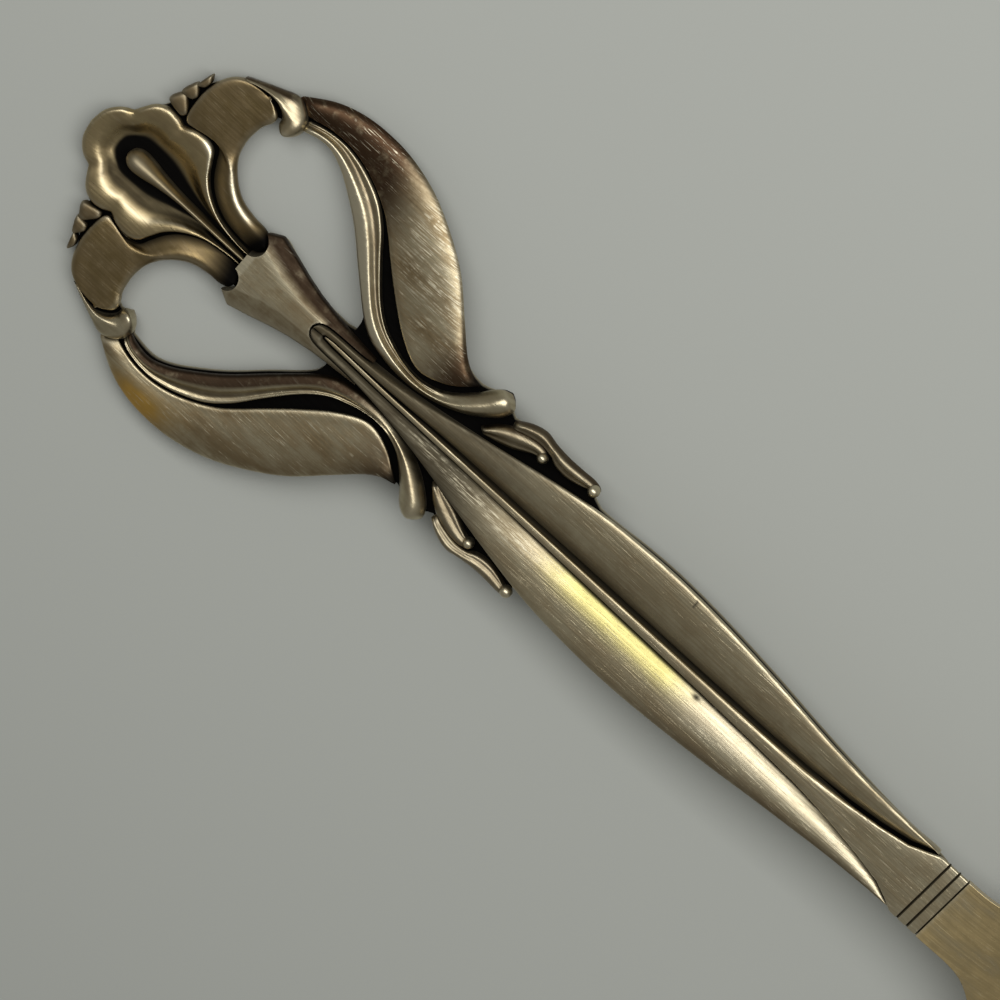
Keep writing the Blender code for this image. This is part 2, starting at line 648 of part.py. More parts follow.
def prism(outline, low, high):
    """Points and faces of an upright prism."""
    count = len(outline)
    points = [(x, y, low) for x, y in outline] + [(x, y, high) for x, y in outline]
    faces = [(i, (i + 1) % count, (i + 1) % count + count, i + count) for i in range(count)]
    faces.append(list(range(count)))
    faces.append(list(range(count, 2 * count)))
    return points, faces


def add_boolean(piece, tool, operation):
    """Cut a tool body from a piece or join it on."""
    modifier = piece.modifiers.new(tool.name, "BOOLEAN")
    modifier.operation = operation
    modifier.solver = "EXACT"
    modifier.object = tool


def add_calyx(root):
    """Low roof-shaped sheath, notched for the sepals' feet and slotted for the shaft's tongue."""
    rings = []
    for x, half, facet in CALYX_STATIONS:
        rim = half - CALYX_ROUNDING
        section = ((half - UNDERCUT, SEAT), (half, CALYX_WALL), (rim, CALYX_EDGE), (facet, CALYX_TOP))
        left = [(x, y, handle_back(x) + z) for y, z in section]
        rings.append(left + [(x, -y, z) for x, y, z in reversed(left)])
    calyx = ring_loft("calyx", rings, WORN, root)
    for side in (1, -1):
        circle = []
        for corner in range(SEPAL_FOOT_CORNERS):
            turn = 2 * math.pi * corner / SEPAL_FOOT_CORNERS
            x = SEPAL_FOOT[0] + SEPAL_FOOT_RADIUS * math.cos(turn)
            circle.append((x, side * SEPAL_FOOT[1] + SEPAL_FOOT_RADIUS * math.sin(turn)))
        notch = add_tool_body("sepal_foot_cutter", *prism(circle, 0.0, CUTTER_HEIGHT), root)
        add_boolean(calyx, notch, "DIFFERENCE")
    outline = TONGUE_SLOT + [(x, -y) for x, y in reversed(TONGUE_SLOT)]
    slot = add_tool_body("tongue_cutter", *prism(outline, 0.0, CUTTER_HEIGHT), root)
    add_boolean(calyx, slot, "DIFFERENCE")
    return calyx


def head_columns():
    """Places across the tine roots with the depth of the round crotch and the tine they belong to."""
    gap = (2 * HEAD_HALF_WIDTH - TINES * TINE_WIDTH) / (TINES - 1)
    columns = []
    left = -HEAD_HALF_WIDTH
    for tine in range(TINES):
        for step in range(TINE_COLUMNS + 1):
            columns.append((left + TINE_WIDTH * step / TINE_COLUMNS, 0.0, tine))
        left += TINE_WIDTH
        if tine < TINES - 1:
            for turn in CROTCH_TURNS:
                angle = math.pi * turn
                place = left + gap / 2 * (1 - math.cos(angle))
                columns.append((place, gap / 2 * math.sin(angle), None))
            left += gap
    return columns


def tine_half_width(share):
    """Half width of a tine along its length: a slow taper that closes to a point."""
    point = max(share - TINE_POINT[0], 0.0) / (1 - TINE_POINT[0])
    return TINE_WIDTH / 2 * (1 - TINE_TAPER * share) * (1 - TINE_POINT[1] * point**2)


def head_plan():
    """Plan points and faces of the head: a grid over the shoulders, then a strip for each tine."""
    columns = head_columns()
    width = len(columns)
    edge = smooth_curve(HEAD_EDGE, HEAD_EDGE_STEPS)
    plan = []
    for row in range(HEAD_ROWS + 1):
        share = (row / HEAD_ROWS) ** HEAD_ROW_GROWTH
        for across, depth, tine in columns:
            x = HEAD_START + (TINE_ROOT - depth - HEAD_START) * share
            plan.append((x, width_at(edge, x) * across / HEAD_HALF_WIDTH))
    faces = []
    for row in range(HEAD_ROWS):
        for column in range(width - 1):
            corner = row * width + column
            faces.append((corner, corner + width, corner + width + 1, corner + 1))
    for tine in range(TINES):
        members = [index for index, column in enumerate(columns) if column[2] == tine]
        centre = sum(columns[index][0] for index in members) / len(members)
        before = [HEAD_ROWS * width + index for index in members]
        for share in TINE_SHARES:
            x = TINE_ROOT + (TINE_TIP - TINE_ROOT) * share
            middle = centre * (1 - TINE_CLOSING * share)
            now = list(range(len(plan), len(plan) + len(members)))
            for step in range(TINE_COLUMNS + 1):
                plan.append((x, middle + tine_half_width(share) * (2 * step / TINE_COLUMNS - 1)))
            for index in range(TINE_COLUMNS):
                faces.append((before[index], now[index], now[index + 1], before[index + 1]))
            before = now
    return plan, faces


def add_fork_head(root):
    """Shouldered head with a dished bowl, four tines and a tang under the neck."""
    plan, faces = head_plan()
    count = len(plan)
    points = [(x, y, head_back(x, y)) for x, y in plan] + [(x, y, head_top(x, y)) for x, y in plan]
    solid = [tuple(reversed(face)) for face in faces]
    solid += [tuple(index + count for index in face) for face in faces]
    sides = [(face[i], face[(i + 1) % 4]) for face in faces for i in range(4)]
    known = set(sides)
    for here, there in sides:
        if (there, here) not in known:
            solid.append((here, there, there + count, here + count))
    head = add_piece("fork_head", points, solid, WORN, root)
    half = [(TANG_START, -TANG_HALF_WIDTH), (HEAD_START + TANG_GRIP, -TANG_HALF_WIDTH)]
    outline = half + [(x, -y) for x, y in reversed(half)]
    points, faces = prism(outline, SEAT, TANG_TOP)
    points = [(x, y, z + handle_back(x)) for x, y, z in points]
    add_boolean(head, add_tool_body("tang_body", points, faces, root), "UNION")
    return head


def build():
    """All pieces of the fork, left and right alike."""
    clear_scene()
    root = bpy.data.objects.new("fork", None)
    root.location.x = -MIDDLE * MM
    bpy.context.scene.collection.objects.link(root)
    ornaments = (
        ("sepal_", (SEPAL_OUTER, SEPAL_INNER), SEPAL_STEPS, sepal_section, SATIN),
        ("hook_", (HOOK_OUTER, HOOK_INNER), HOOK_STEPS, hook_section, WORN),
        ("bud_sprig_", (BUD_OUTER, BUD_INNER), BUD_STEPS, bud_section, WORN),
        ("leaf_", (LEAF_OUTER, LEAF_INNER), LEAF_STEPS, leaf_section, SATIN),
        ("stem_", (STEM_HOLE_EDGE, STEM_GROOVE_EDGE), STEM_STEPS, stem_section, WORN),
        ("scroll_inner_", (SCROLL_INNER_TOP, SCROLL_INNER_FOOT), SCROLL_INNER_STEPS, scroll_section, WORN),
        ("scroll_outer_", (SCROLL_OUTER_TOP, SCROLL_OUTER_FOOT), SCROLL_OUTER_STEPS, scroll_section, WORN),
    )
    add_back_plate(root)
    add_blossom(root)
    add_spadix(root)
    for side, hand in ((1, "left"), (-1, "right")):
        for name, edges, steps, section, finish in ornaments:
            add_relief(name + hand, edges, steps, section, finish, root, side)
        add_shaft_lobe("shaft_lobe_" + hand, side, root)
    add_calyx(root)
    add_spine(root)
    add_fork_head(root)


build()
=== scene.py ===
"""Looks of a cold meat fork with a pierced blossom handle in tarnished silver.

The long axis is X, from the blossom to the tines, and the fork lies on its back with Z up.
Outlines are drawn in millimetres from the blossom's throat, on the left (+Y) half of the handle.
Heights of handle pieces are measured from the handle's back, which rises toward the neck.
A section lists points across a piece: the share of its width and the height there.
"""

import math

import bmesh
import bpy
import numpy as np
from mathutils import Matrix, Vector
from mathutils.bvhtree import BVHTree
from mathutils.geometry import interpolate_bezier


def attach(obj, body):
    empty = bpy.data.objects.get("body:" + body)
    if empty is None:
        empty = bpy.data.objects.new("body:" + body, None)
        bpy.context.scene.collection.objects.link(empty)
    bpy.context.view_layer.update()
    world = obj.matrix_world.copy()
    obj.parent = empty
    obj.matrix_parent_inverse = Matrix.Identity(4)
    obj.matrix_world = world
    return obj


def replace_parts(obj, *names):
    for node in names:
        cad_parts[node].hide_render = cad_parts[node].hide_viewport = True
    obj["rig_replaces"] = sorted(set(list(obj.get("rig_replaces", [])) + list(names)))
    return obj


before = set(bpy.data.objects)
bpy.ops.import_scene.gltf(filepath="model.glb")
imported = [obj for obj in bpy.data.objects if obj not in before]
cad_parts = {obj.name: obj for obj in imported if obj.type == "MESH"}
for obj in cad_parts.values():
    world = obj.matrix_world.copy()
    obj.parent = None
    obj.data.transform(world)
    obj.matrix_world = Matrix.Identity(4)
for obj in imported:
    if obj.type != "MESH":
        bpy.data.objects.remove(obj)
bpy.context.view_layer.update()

bl_info = {
    "name": "Blossom Handle Fork",
    "version": (1, 0, 0),
    "blender": (4, 5, 0),
    "location": "View3D > Sidebar > Fork",
    "description": "Builds a tarnished silver serving fork with a pierced blossom handle",
    "category": "Add Mesh",
}

MM = 0.001

# Lengths along the fork
BLOSSOM_TIP = -3.9
LOBE_END = 130.4
NECK_START = 130.8
NECK_END = 135.0
BOWL_LOW = 180.0
TINE_ROOT = 182.0
TINE_TIP = 224.0
MIDDLE = (BLOSSOM_TIP + TINE_TIP) / 2

# Side profile: flat end under the blossom, straight rise to the neck, dip to the bowl, turned-up tips
FLAT_END = 0.0
RISE_START = 12.0
RISE = 0.083
BOWL_PRESS = 0.3
TIP_RISE = 7.0
BOWL_DISH = 2.0
DISH_LENGTH = 30.0

# Thicknesses, heights and the steps of a wall from its foot to its top
PLATE = 1.0
PLATE_INSET = 0.7
UNDERCUT = 0.3
DEEP_UNDERCUT = 0.9
WALL_STEPS = (0.0, 0.35, 0.65, 0.85)
SEAT = 1.3
EDGE_FOOT = 1.65
LOW_END = 0.1
NECK_TOP = 3.5
HEAD_THICKNESS = 2.5
THINNING = 16.0
TINE_THICKNESS = 2.1
SEAM = 0.3
EDGE_LOSS = 0.07

# Fineness of the drawn curves, rings and rounded ends
CURVE_STEPS = 17
RULER_STEPS = 60
LEAST_STEP = 0.0001
LEAST_WIDTH = 0.05
LEAST_SECTION = 0.5
ROUND_END_TURNS = (25.0, 45.0, 60.0, 72.0, 82.0)
ROUND_END = 0.8
BLUNT_END = 0.05
BEAD_SEAT = 1.1
BEAD_TURNS = 28
BEAD_ROWS = 17
BEAD_POLE = 0.06
SHARP_ANGLE = math.radians(50)

# Blossom, from the tip along the left half: three lobes that meet in notches, then the trumpet
BLOSSOM_RIM = (
    [(-3.9, 0.05), (-3.45, 2.2), (-2.2, 3.8), (-0.7, 4.6)],
    [(-0.7, 4.6), (-0.1, 5.7), (0.9, 7.1), (2.4, 7.85), (4.0, 7.75), (5.1, 7.3)],
    [
        (5.1, 7.3), (6.8, 8.0), (8.5, 8.15), (9.75, 7.6), (10.5, 6.35), (11.5, 4.6), (13.1, 3.05),
        (15.7, 1.65), (19.0, 0.98), (21.4, 0.88),
    ],
)
BLOSSOM_THROAT = (
    [(0.7, 0.05), (0.85, 0.9), (1.5, 1.75)],
    [(1.5, 1.75), (2.7, 2.4), (4.6, 2.55)],
    [(4.6, 2.55), (7.0, 2.3), (10.0, 1.5), (13.5, 0.8), (17.0, 0.56), (21.3, 0.44)],
)
BLOSSOM_STEPS = (24, 34, 70)
BLOSSOM_SECTION = (
    (1.0, 2.1), (0.96, 2.48), (0.9, 2.66), (0.8, 2.65), (0.7, 2.62), (0.6, 2.54), (0.5, 2.36), (0.4, 2.04),
    (0.28, 1.6), (0.16, 1.25), (0.08, 1.16), (0.0, 1.14),
)
BLOSSOM_FLOOR = 1.13
THROAT_FLOOR = (0.9, 0.7, 0.5, 0.3, 0.1)
TRUMPET_FILL = 0.8
TRUMPET_FILL_RANGE = (14.5, 19.5)
BLOSSOM_CREASE = 0.3
CREASE_GROWTH = 1.5
BLOSSOM_NOTCHES = ((-0.7, 4.6), (5.1, 7.3))
NOTCH_REACH = 1.1
HALVES_APART = 0.004

# Spadix: the teardrop's half outline and the arch across it
SPADIX_EDGE = [
    (2.1, 0.1), (2.4, 0.8), (3.2, 1.3), (4.6, 1.35), (7.2, 0.9), (9.5, 0.6), (11.6, 0.46), (21.35, 0.34),
]
SPADIX_FOOT = 1.15
SPADIX_SPRING = 1.9
SPADIX_RISE = 0.8
SPADIX_SWELL = 0.85
SPADIX_TIP = 0.15
SPADIX_TIP_HEIGHT = 0.35
SPADIX_WRAP = 0.15
SPADIX_ROWS = 90
SPADIX_TURNS = 21
SPADIX_BLACK = 0.35

# Sepal: the crescent's outer edge follows the blossom and swings out, its inner edge borders the loop
SEPAL_OUTER = [
    (22.1, 2.75), (21.7, 1.7), (20.6, 1.4), (18.0, 1.5), (15.8, 1.98), (13.4, 3.3), (11.9, 4.85),
    (10.9, 6.6), (10.1, 8.0), (8.6, 8.55), (6.8, 8.4), (5.3, 7.75), (4.65, 8.3), (4.35, 10.2), (4.4, 12.6),
    (5.0, 14.75), (6.0, 16.2), (7.4, 17.0), (9.0, 17.3), (10.7, 17.35),
]
SEPAL_INNER = [
    (22.15, 2.95), (21.8, 4.0), (20.7, 4.5), (19.0, 4.6), (16.4, 5.2), (14.2, 6.75), (12.7, 8.8),
    (12.2, 10.8), (12.2, 12.2), (12.5, 13.9), (13.15, 15.2), (13.1, 16.1), (12.2, 16.85), (11.2, 17.25),
]
SEPAL_FOOT_SECTION = (
    (0.0, 1.75), (0.1, 1.85), (0.35, 2.3), (0.55, 2.65), (0.7, 2.75), (0.87, 2.5), (1.0, 1.9),
)
SEPAL_BLADE_SECTION = (
    (0.0, 2.2), (0.08, 2.5), (0.35, 2.58), (0.55, 2.66), (0.75, 2.72), (0.92, 2.65), (1.0, 2.25),
)
SEPAL_BLADE = (0.45, 0.72)

# Hook that wraps the sepal's tip and ends in a knob
HOOK_OUTER = [
    (7.1, 17.05), (9.15, 18.05), (11.7, 19.15), (13.5, 19.75), (15.1, 19.25), (16.3, 18.0), (16.5, 16.5),
    (15.9, 15.4), (14.98, 14.9),
]
HOOK_INNER = [
    (7.5, 17.0), (9.6, 17.5), (11.1, 17.6), (12.6, 17.2), (13.55, 16.3), (13.7, 15.5), (14.15, 15.05),
    (14.8, 14.86),
]
HOOK_TOP = (2.4, 3.4)
HOOK_GROWTH = 0.7
HOOK_NOSE = 0.12
HOOK_SECTION = (
    (0.0, 0.0), (0.1, 0.4), (0.3, 0.66), (0.52, 0.8), (0.7, 0.97), (0.8, 1.0), (0.9, 0.75), (1.0, 0.0),
)
HOOK_KNOB_SECTION = (
    (0.0, 0.0), (0.09, 0.45), (0.24, 0.8), (0.42, 0.98), (0.58, 0.98), (0.76, 0.8), (0.91, 0.45), (1.0, 0.0),
)
HOOK_KNOB = (0.55, 0.78)

# Bud sprig: wedge-shaped buds along a path between blossom and sepal
BUD_PATH = [(3.2, 9.0), (3.3, 11.2), (3.85, 13.25)]
BUD_HEIGHT = 1.0
BUD_RISE = 0.5
BUD_SLANT = -0.5
BUD_TIP_SHARE = 0.32
BUD_TAPER = 0.66
BUD_CREASE = 0.3
BUD_STEPS = 16
BUD_SMOOTHING = 4
BUD_SHRINKING = 0.8
BUD_BLACK = 0.28

# Side leaf: low pillow that falls to its outer rim
LEAF_OUTER = [
    (13.8, 20.1), (17.3, 22.35), (20.5, 23.5), (24.0, 23.95), (28.2, 23.75), (33.0, 22.5), (37.5, 20.25),
    (42.0, 17.15), (46.0, 13.1), (49.0, 10.0), (50.8, 8.75), (52.4, 8.3),
]
LEAF_INNER = [
    (15.5, 18.7), (19.0, 19.55), (22.5, 19.55), (26.0, 18.6), (30.0, 16.5), (32.5, 14.35), (34.0, 12.85),
    (38.0, 9.15), (42.0, 6.0), (45.5, 4.5), (49.0, 5.5), (52.3, 8.1),
]
LEAF_SECTION = (
    (0.0, 0.15), (0.04, 0.5), (0.12, 0.82), (0.25, 1.08), (0.45, 1.22), (0.65, 1.2), (0.85, 1.08),
    (0.96, 1.02), (1.0, 0.8),
)
LEAF_LOW = 0.3
LEAF_NOSES = (0.05, 0.06)

# Stem inside the leaf: face to the loop, flat band, flute and raised rim, then a round bead
STEM_HOLE_EDGE = [
    (16.2, 16.9), (18.0, 17.55), (20.1, 17.75), (22.1, 17.1), (24.15, 15.9), (28.2, 12.8), (32.2, 8.9),
    (36.2, 5.1), (38.15, 3.7), (40.0, 2.95), (44.0, 2.4), (48.0, 2.7), (53.0, 4.4), (56.6, 7.0),
    (57.6, 8.8), (57.0, 9.85), (56.2, 10.25),
]
STEM_GROOVE_EDGE = [
    (16.2, 18.35), (18.0, 19.0), (20.0, 19.35), (22.0, 19.4), (25.1, 18.75), (28.65, 17.15), (31.2, 14.9),
    (33.6, 11.8), (36.3, 8.5), (38.2, 6.65), (40.1, 5.4), (44.0, 4.05), (47.0, 3.9), (50.0, 5.0),
    (52.8, 7.6), (54.1, 9.3), (55.0, 10.05), (55.9, 10.27),
]
STEM_BAND = (
    (0.0, 1.8), (0.04, 2.4), (0.12, 2.58), (0.26, 2.74), (0.4, 2.84), (0.48, 2.8), (0.58, 2.45), (0.69, 2.15),
    (0.8, 2.18), (0.88, 2.4), (0.95, 2.2), (1.0, 1.6),
)
STEM_BEAD = (
    (0.0, 1.9), (0.07, 2.4), (0.16, 2.85), (0.27, 3.25), (0.42, 3.6), (0.55, 3.65), (0.66, 3.5), (0.75, 3.25),
    (0.84, 2.95), (0.91, 2.6), (0.96, 2.3), (1.0, 1.9),
)
STEM_BEAD_RANGE = (0.7, 0.92)
STEM_NOSES = (0.03, 0.06)

# Scrolls beside the shaft
SCROLL_INNER_TOP = [
    (55.7, 4.7), (57.3, 6.5), (59.3, 7.75), (61.4, 8.35), (63.2, 8.4), (64.3, 7.85), (64.4, 7.1),
]
SCROLL_INNER_FOOT = [
    (56.3, 4.25), (58.2, 4.55), (60.0, 5.1), (61.5, 5.95), (62.6, 6.6), (63.3, 6.85), (63.7, 6.8),
]
SCROLL_INNER_END = (63.8, 7.2, 0.74, 3.1)
SCROLL_OUTER_TOP = [
    (58.4, 8.2), (60.2, 9.3), (62.2, 9.85), (64.1, 9.5), (66.4, 9.3), (68.7, 9.35), (70.5, 9.4), (71.6, 9.0),
    (71.6, 8.3),
]
SCROLL_OUTER_FOOT = [
    (58.7, 7.3), (60.6, 7.85), (62.6, 8.2), (64.3, 8.0), (65.5, 7.4), (67.3, 7.2), (69.1, 7.6), (70.2, 8.1),
    (70.8, 8.1),
]
SCROLL_OUTER_END = (71.0, 8.5, 0.8, 3.1)
SCROLL_LOW = 1.8
SCROLL_TOP = (1.0, 0.75)
SCROLL_BEAD_RANGE = (0.5, 0.87)
SCROLL_NOSES = (0.08, 0.12)
SCROLL_SECTION = (
    (0.0, 0.0), (0.08, 0.5), (0.22, 0.85), (0.38, 1.0), (0.52, 0.92), (0.66, 0.75), (0.78, 0.78), (0.9, 0.55),
    (1.0, 0.0),
)

# Calyx sheath: place, half width and half width of the flat facet along its top.
# Its wall is given by the distance in from the edge and the height, its facet by the distance out.
CALYX_STATIONS = (
    (21.05, 4.5, 3.4), (23.0, 5.6, 3.0), (26.0, 4.75, 1.95), (28.5, 3.95, 1.5), (31.0, 3.3, 1.3),
    (34.4, 2.7, 1.2), (37.0, 2.4, 1.2), (41.0, 2.05, 1.4),
)
CALYX_ROWS = 70
CALYX_WALL = ((0.3, 1.0), (0.1, 1.8), (0.0, 2.6), (0.06, 2.88), (0.2, 3.0))
CALYX_SLOPE = 3.3
CALYX_FACET = ((0.12, 3.55), (-0.1, 3.6))
CALYX_TOP = 3.62
CALYX_BEVEL = (3.5, 3.58)
# Painted shade on the bevels below the top facet: reddish brown and black, left (+Y) and right strengths
CALYX_SHADE_RED = (0.97, 0.2)
CALYX_SHADE_BLACK = (0.45, 0.0)
SEPAL_FOOT = (20.75, 2.9)
SEPAL_FOOT_RADIUS = 1.75
SEPAL_FOOT_TURNS = 48
SLOT_STEPS = 24
TONGUE_SLOT = [(32.5, 0.2), (32.9, 1.0), (34.2, 1.5), (40.0, 1.72), (44.0, 2.15)]
CUTTER_HEIGHT = 9.0

# Shaft: the lobes' outer edge and sections, and the half width of the spine between them
TONGUE_TIP = 32.8
SPINE_TIP = 34.6
LOBE_OUTER = [
    (TONGUE_TIP, 0.25), (33.2, 0.85), (34.4, 1.2), (40.0, 1.4), (46.0, 2.0), (52.0, 3.1), (60.0, 4.9),
    (68.0, 6.6), (74.0, 7.6), (80.0, 8.05), (86.0, 8.2), (93.0, 7.9), (102.0, 7.1), (111.0, 6.05),
    (120.0, 5.2), (126.0, 4.87), (129.0, 4.74), (LOBE_END, 4.56),
]
LOBE_TONGUE_SECTION = (
    (0.0, 3.35), (0.03, 3.6), (0.08, 3.8), (0.2, 3.9), (0.5, 3.82), (0.75, 3.65), (1.0, 3.25),
)
LOBE_PILLOW_SECTION = (
    (0.0, 3.32), (0.03, 3.4), (0.075, 3.51), (0.2, 3.56), (0.5, 3.47), (0.75, 3.1), (1.0, 2.3),
)
LOBE_NECK_SECTION = (
    (0.0, 2.52), (0.03, 2.6), (0.08, 2.72), (0.2, 2.79), (0.5, 2.72), (0.75, 2.5), (1.0, 2.0),
)
LOBE_TONGUE_RANGE = (0.1, 0.25)
LOBE_NECK_RANGE = (0.8, 1.0)
LOBE_SEAM = 0.21
LOBE_APART = 0.02
LOBE_LEAST = 0.08
SPINE_EDGE = [
    (SPINE_TIP, 0.1), (36.0, 0.25), (48.0, 0.32), (60.0, 0.38), (80.0, 0.57), (95.0, 0.7), (105.0, 0.85),
    (112.0, 1.08), (118.0, 1.6), (123.0, 2.25), (127.0, 3.05), (129.2, 4.0), (LOBE_END, 4.62),
    (NECK_START, 4.76), (NECK_END, 4.76),
]
SPINE_TIP_TOP = 3.2
SPINE_TOP = 3.6
SPINE_SETTLE = 12.0
SPINE_FLARE = (108.0, 124.0)
SPINE_STEP = 0.4
SPINE_BLACK = 0.12
SPINE_BLACK_RANGE = (48.0, 72.0)
SPINE_WALL = 2.5
RIB_SHARES = (1.0, 0.9, 0.8, 0.65, 0.45, 0.22)
RIB_ROUND = 0.26
RIB_POWER = 4
RIB_FOOT = 0.12
RIB_WALL = 0.1
NECK_BEVEL = (0.3, 0.22)
NECK_EDGE = ((0.0, 0.4), (0.0, 0.15), (0.35, 0.05), (1.0, 0.02))
NECK_FLAT = (0.6, 0.3)
NECK_SLANT = (128.0, 131.5)
LINE_PLACES = (131.95, 133.48, 135.0)
LINE_PROFILE = (-0.7, -0.5, -0.3, 0.0, 0.3, 0.5, 0.7)
LINE_WALL = 1.6

# Pierced back plate: the ornaments' outer edge along the left half and the edge of the left loop
PLATE_OUTER = (
    [(-3.9, 0.0), (-3.45, 2.2), (-2.2, 3.8), (-0.7, 4.6)],
    [(-0.7, 4.6), (0.0, 6.0), (1.4, 8.1), (2.1, 10.6), (3.9, 13.8)],
    [(3.9, 13.8), (5.4, 15.6), (7.4, 17.3), (11.0, 18.9), (14.0, 20.0)],
    [
        (14.0, 20.0), (16.5, 22.0), (20.0, 23.4), (24.0, 23.8), (28.0, 23.6), (33.0, 22.1), (38.0, 19.5),
        (43.0, 15.6), (48.0, 10.8), (50.0, 9.4), (52.5, 8.9), (55.0, 10.0),
    ],
    [
        (55.0, 10.0), (56.6, 10.1), (57.7, 9.1), (58.4, 8.6), (59.5, 9.1), (61.0, 9.55), (67.0, 9.3),
        (70.4, 9.5), (71.6, 8.8),
    ],
    [
        (71.6, 8.8), (72.4, 7.7), (75.0, 7.55), (80.0, 8.0), (86.0, 8.2), (93.0, 7.9), (102.0, 7.1),
        (111.0, 6.05), (120.0, 5.2), (127.0, 4.8), (131.0, 4.6), (NECK_END, 3.8),
    ],
)
PLATE_OUTER_STEPS = (12, 24, 20, 70, 40, 60)
PLATE_CUTS = range(-3, 14)
PLATE_SNAP = 0.02
LOOP_EDGE = (
    [(21.9, 4.4), (23.1, 5.6), (26.0, 4.8), (29.0, 3.85), (32.0, 3.1), (36.2, 2.9)],
    [
        (36.2, 2.9), (35.65, 4.5), (31.65, 8.35), (27.7, 12.2), (23.7, 15.3), (21.8, 16.45), (20.0, 17.0),
        (17.0, 16.7),
    ],
    [
        (17.0, 16.7), (16.5, 15.7), (15.0, 14.8), (13.6, 15.2), (13.0, 14.8), (12.5, 13.6), (12.2, 12.0),
        (12.2, 10.8), (12.7, 8.8), (14.2, 6.75), (16.4, 5.2), (19.0, 4.6), (21.9, 4.4),
    ],
)
LOOP_STEPS = (24, 34, 50)

# Fork head: half outline up to the tine roots, then the tines
HEAD_START = NECK_END + 0.05
HEAD_EDGE = [
    (HEAD_START, 4.78), (138.0, 4.8), (140.0, 4.95), (142.0, 5.45), (144.0, 6.65), (147.0, 9.4),
    (151.0, 13.0), (156.0, 15.8), (163.0, 17.4), (171.0, 17.8), (TINE_ROOT, 17.8),
]
HEAD_HALF_WIDTH = 17.8
HEAD_DRAW = (160.0, 178.0)
HEAD_AMBER = (148.0, 172.0)
HEAD_SLANT = (141.0, 136.0)
HEAD_STEPS = 160
HEAD_ROUNDING = 0.5
HEAD_ROUNDING_STEPS = 3
HEAD_ROWS = 44
HEAD_ROW_GROWTH = 1.2
TINES = 4
TINE_WIDTH = 5.4
TINE_COLUMNS = 8
TINE_ROWS = 30
TINE_TAPER = 0.3
TINE_POINT = (0.6, 0.86)
TINE_CLOSING = 0.03
CROTCH_TURNS = 9

# Tarnish patches, painted shade and painted highlights: the mark, its strength on the left and the right
# piece, and the fades that bound it.
# A fade is full at its first limit and gone, or down to a given rest, at its second.
# A stripe has a middle and a width. Places are shares of the length and of the width of a piece.
# Across, the first wall lies below 0 and the second above 1. Petals are placed along in millimetres.

# Petals: black throat; on the right half a funnel darkened with painted shade and a band of painted
# highlight, on the left half a painted highlight along the lip
PETAL_TARNISH_AND_LIGHT = (
    dict(mark="oxide", left=1.0, right=1.0, across=[(0.04, 0.22)]),
    # Painted shade on the right half's inner slope toward the throat
    dict(mark="oxide", right=0.78, along=[(0.5, -3.6)], across=[(0.28, 0.43)]),
    # Painted highlight along the left half's rolled lip
    dict(mark="shine", left=1.0, along=[(9.0, 7.5), (17.0, 21.0)], across=[(0.95, 0.78)]),
    # Painted highlight band across the right half's inner slope
    dict(mark="shine", right=0.3, along=[(0.5, -3.6)], across_stripe=(0.5, 0.07)),
)
# Sepals: painted shade beside the petal, black foot, reddish wall to the loop and a painted highlight streak,
# stronger on the left sepal
SEPAL_TARNISH_AND_LIGHT = (
    # Painted shade where the sepal meets the petal
    dict(mark="oxide", left=0.85, right=0.85, along=[(0.46, 0.52)], across=[(0.02, 0.4)]),
    dict(mark="oxide", left=1.0, along=[(0.06, 0.19)]),
    dict(mark="oxide", right=1.0, along=[(0.06, 0.26)]),
    dict(mark="russet", left=0.5, right=0.5, across=[(1.3, 1.0)]),
    # Painted highlight streak near the loop edge, strong on the left sepal and faint on the right
    dict(mark="shine", left=0.8, right=0.2, along=[(0.22, 0.14), (0.4, 0.55)], across_stripe=(0.78, 0.1)),
)
# Hooks: reddish outer flank
HOOK_TARNISH = (
    dict(mark="russet", left=0.9, right=0.3, along=[(0.45, 0.6)], across=[(0.3, 0.6)]),
)
# Leaves: black wall to the groove and dark ends, rubbed on the left one, stained on the right one
LEAF_TARNISH = (
    dict(mark="oxide", left=1.0, right=1.0, across=[(1.4, 1.05)]),
    dict(mark="oxide", left=0.9, right=0.9, along=[(0.99, 0.94)]),
    dict(mark="russet", left=0.95, along=[(0.93, 0.76)]),
    dict(mark="russet", left=1.0, along=[(0.3, 0.52)]),
    dict(mark="russet", right=0.75, along=[(0.97, 0.78)]),
    dict(mark="scuff", left=0.8, along=[(0.52, 0.44), (0.72, 0.9)], across=[(0.6, 1.0)]),
    dict(mark="gold", right=1.3, along_stripe=(0.2, 0.09), across_stripe=(0.25, 0.35)),
)
# Stems: black wall to the groove, painted shade in black and reddish brown on the face to the loop (a narrow
# strip on the left stem, a wide band on the right one), brown flute and a painted highlight on the left
# stem's flat band
STEM_TARNISH_AND_LIGHT = (
    dict(mark="oxide", left=1.0, right=1.0, across=[(1.2, 1.0)]),
    # Painted shade on the face to the loop: its foot on the left stem, the face and the first third of the
    # top on the right stem
    dict(mark="oxide", left=0.4, across=[(-0.1, 0.05)]),
    dict(mark="oxide", right=0.4, along=[(0.6, 0.76)], across=[(0.34, 0.48)]),
    dict(mark="russet", left=0.97, across=[(-0.1, 0.05)]),
    dict(mark="russet", right=0.97, along=[(0.6, 0.76)], across=[(0.34, 0.48)]),
    dict(mark="russet", left=0.6, right=0.6, along=[(0.68, 0.8)], across_stripe=(0.69, 0.08)),
    # Painted highlight on the left stem's flat band
    dict(mark="shine", left=0.7, along=[(0.6, 0.7)], across=[(0.03, 0.0), (0.42, 0.5)]),
)
# Scrolls: brown with a reddish flank and furrow
SCROLL_TARNISH = (
    dict(mark="oxide", left=0.15, right=0.15),
    dict(mark="russet", left=0.4, right=0.4),
    dict(mark="russet", left=0.85, right=0.6, across=[(0.1, 0.34)]),
    dict(mark="russet", left=0.7, right=0.7, across_stripe=(0.67, 0.06)),
)
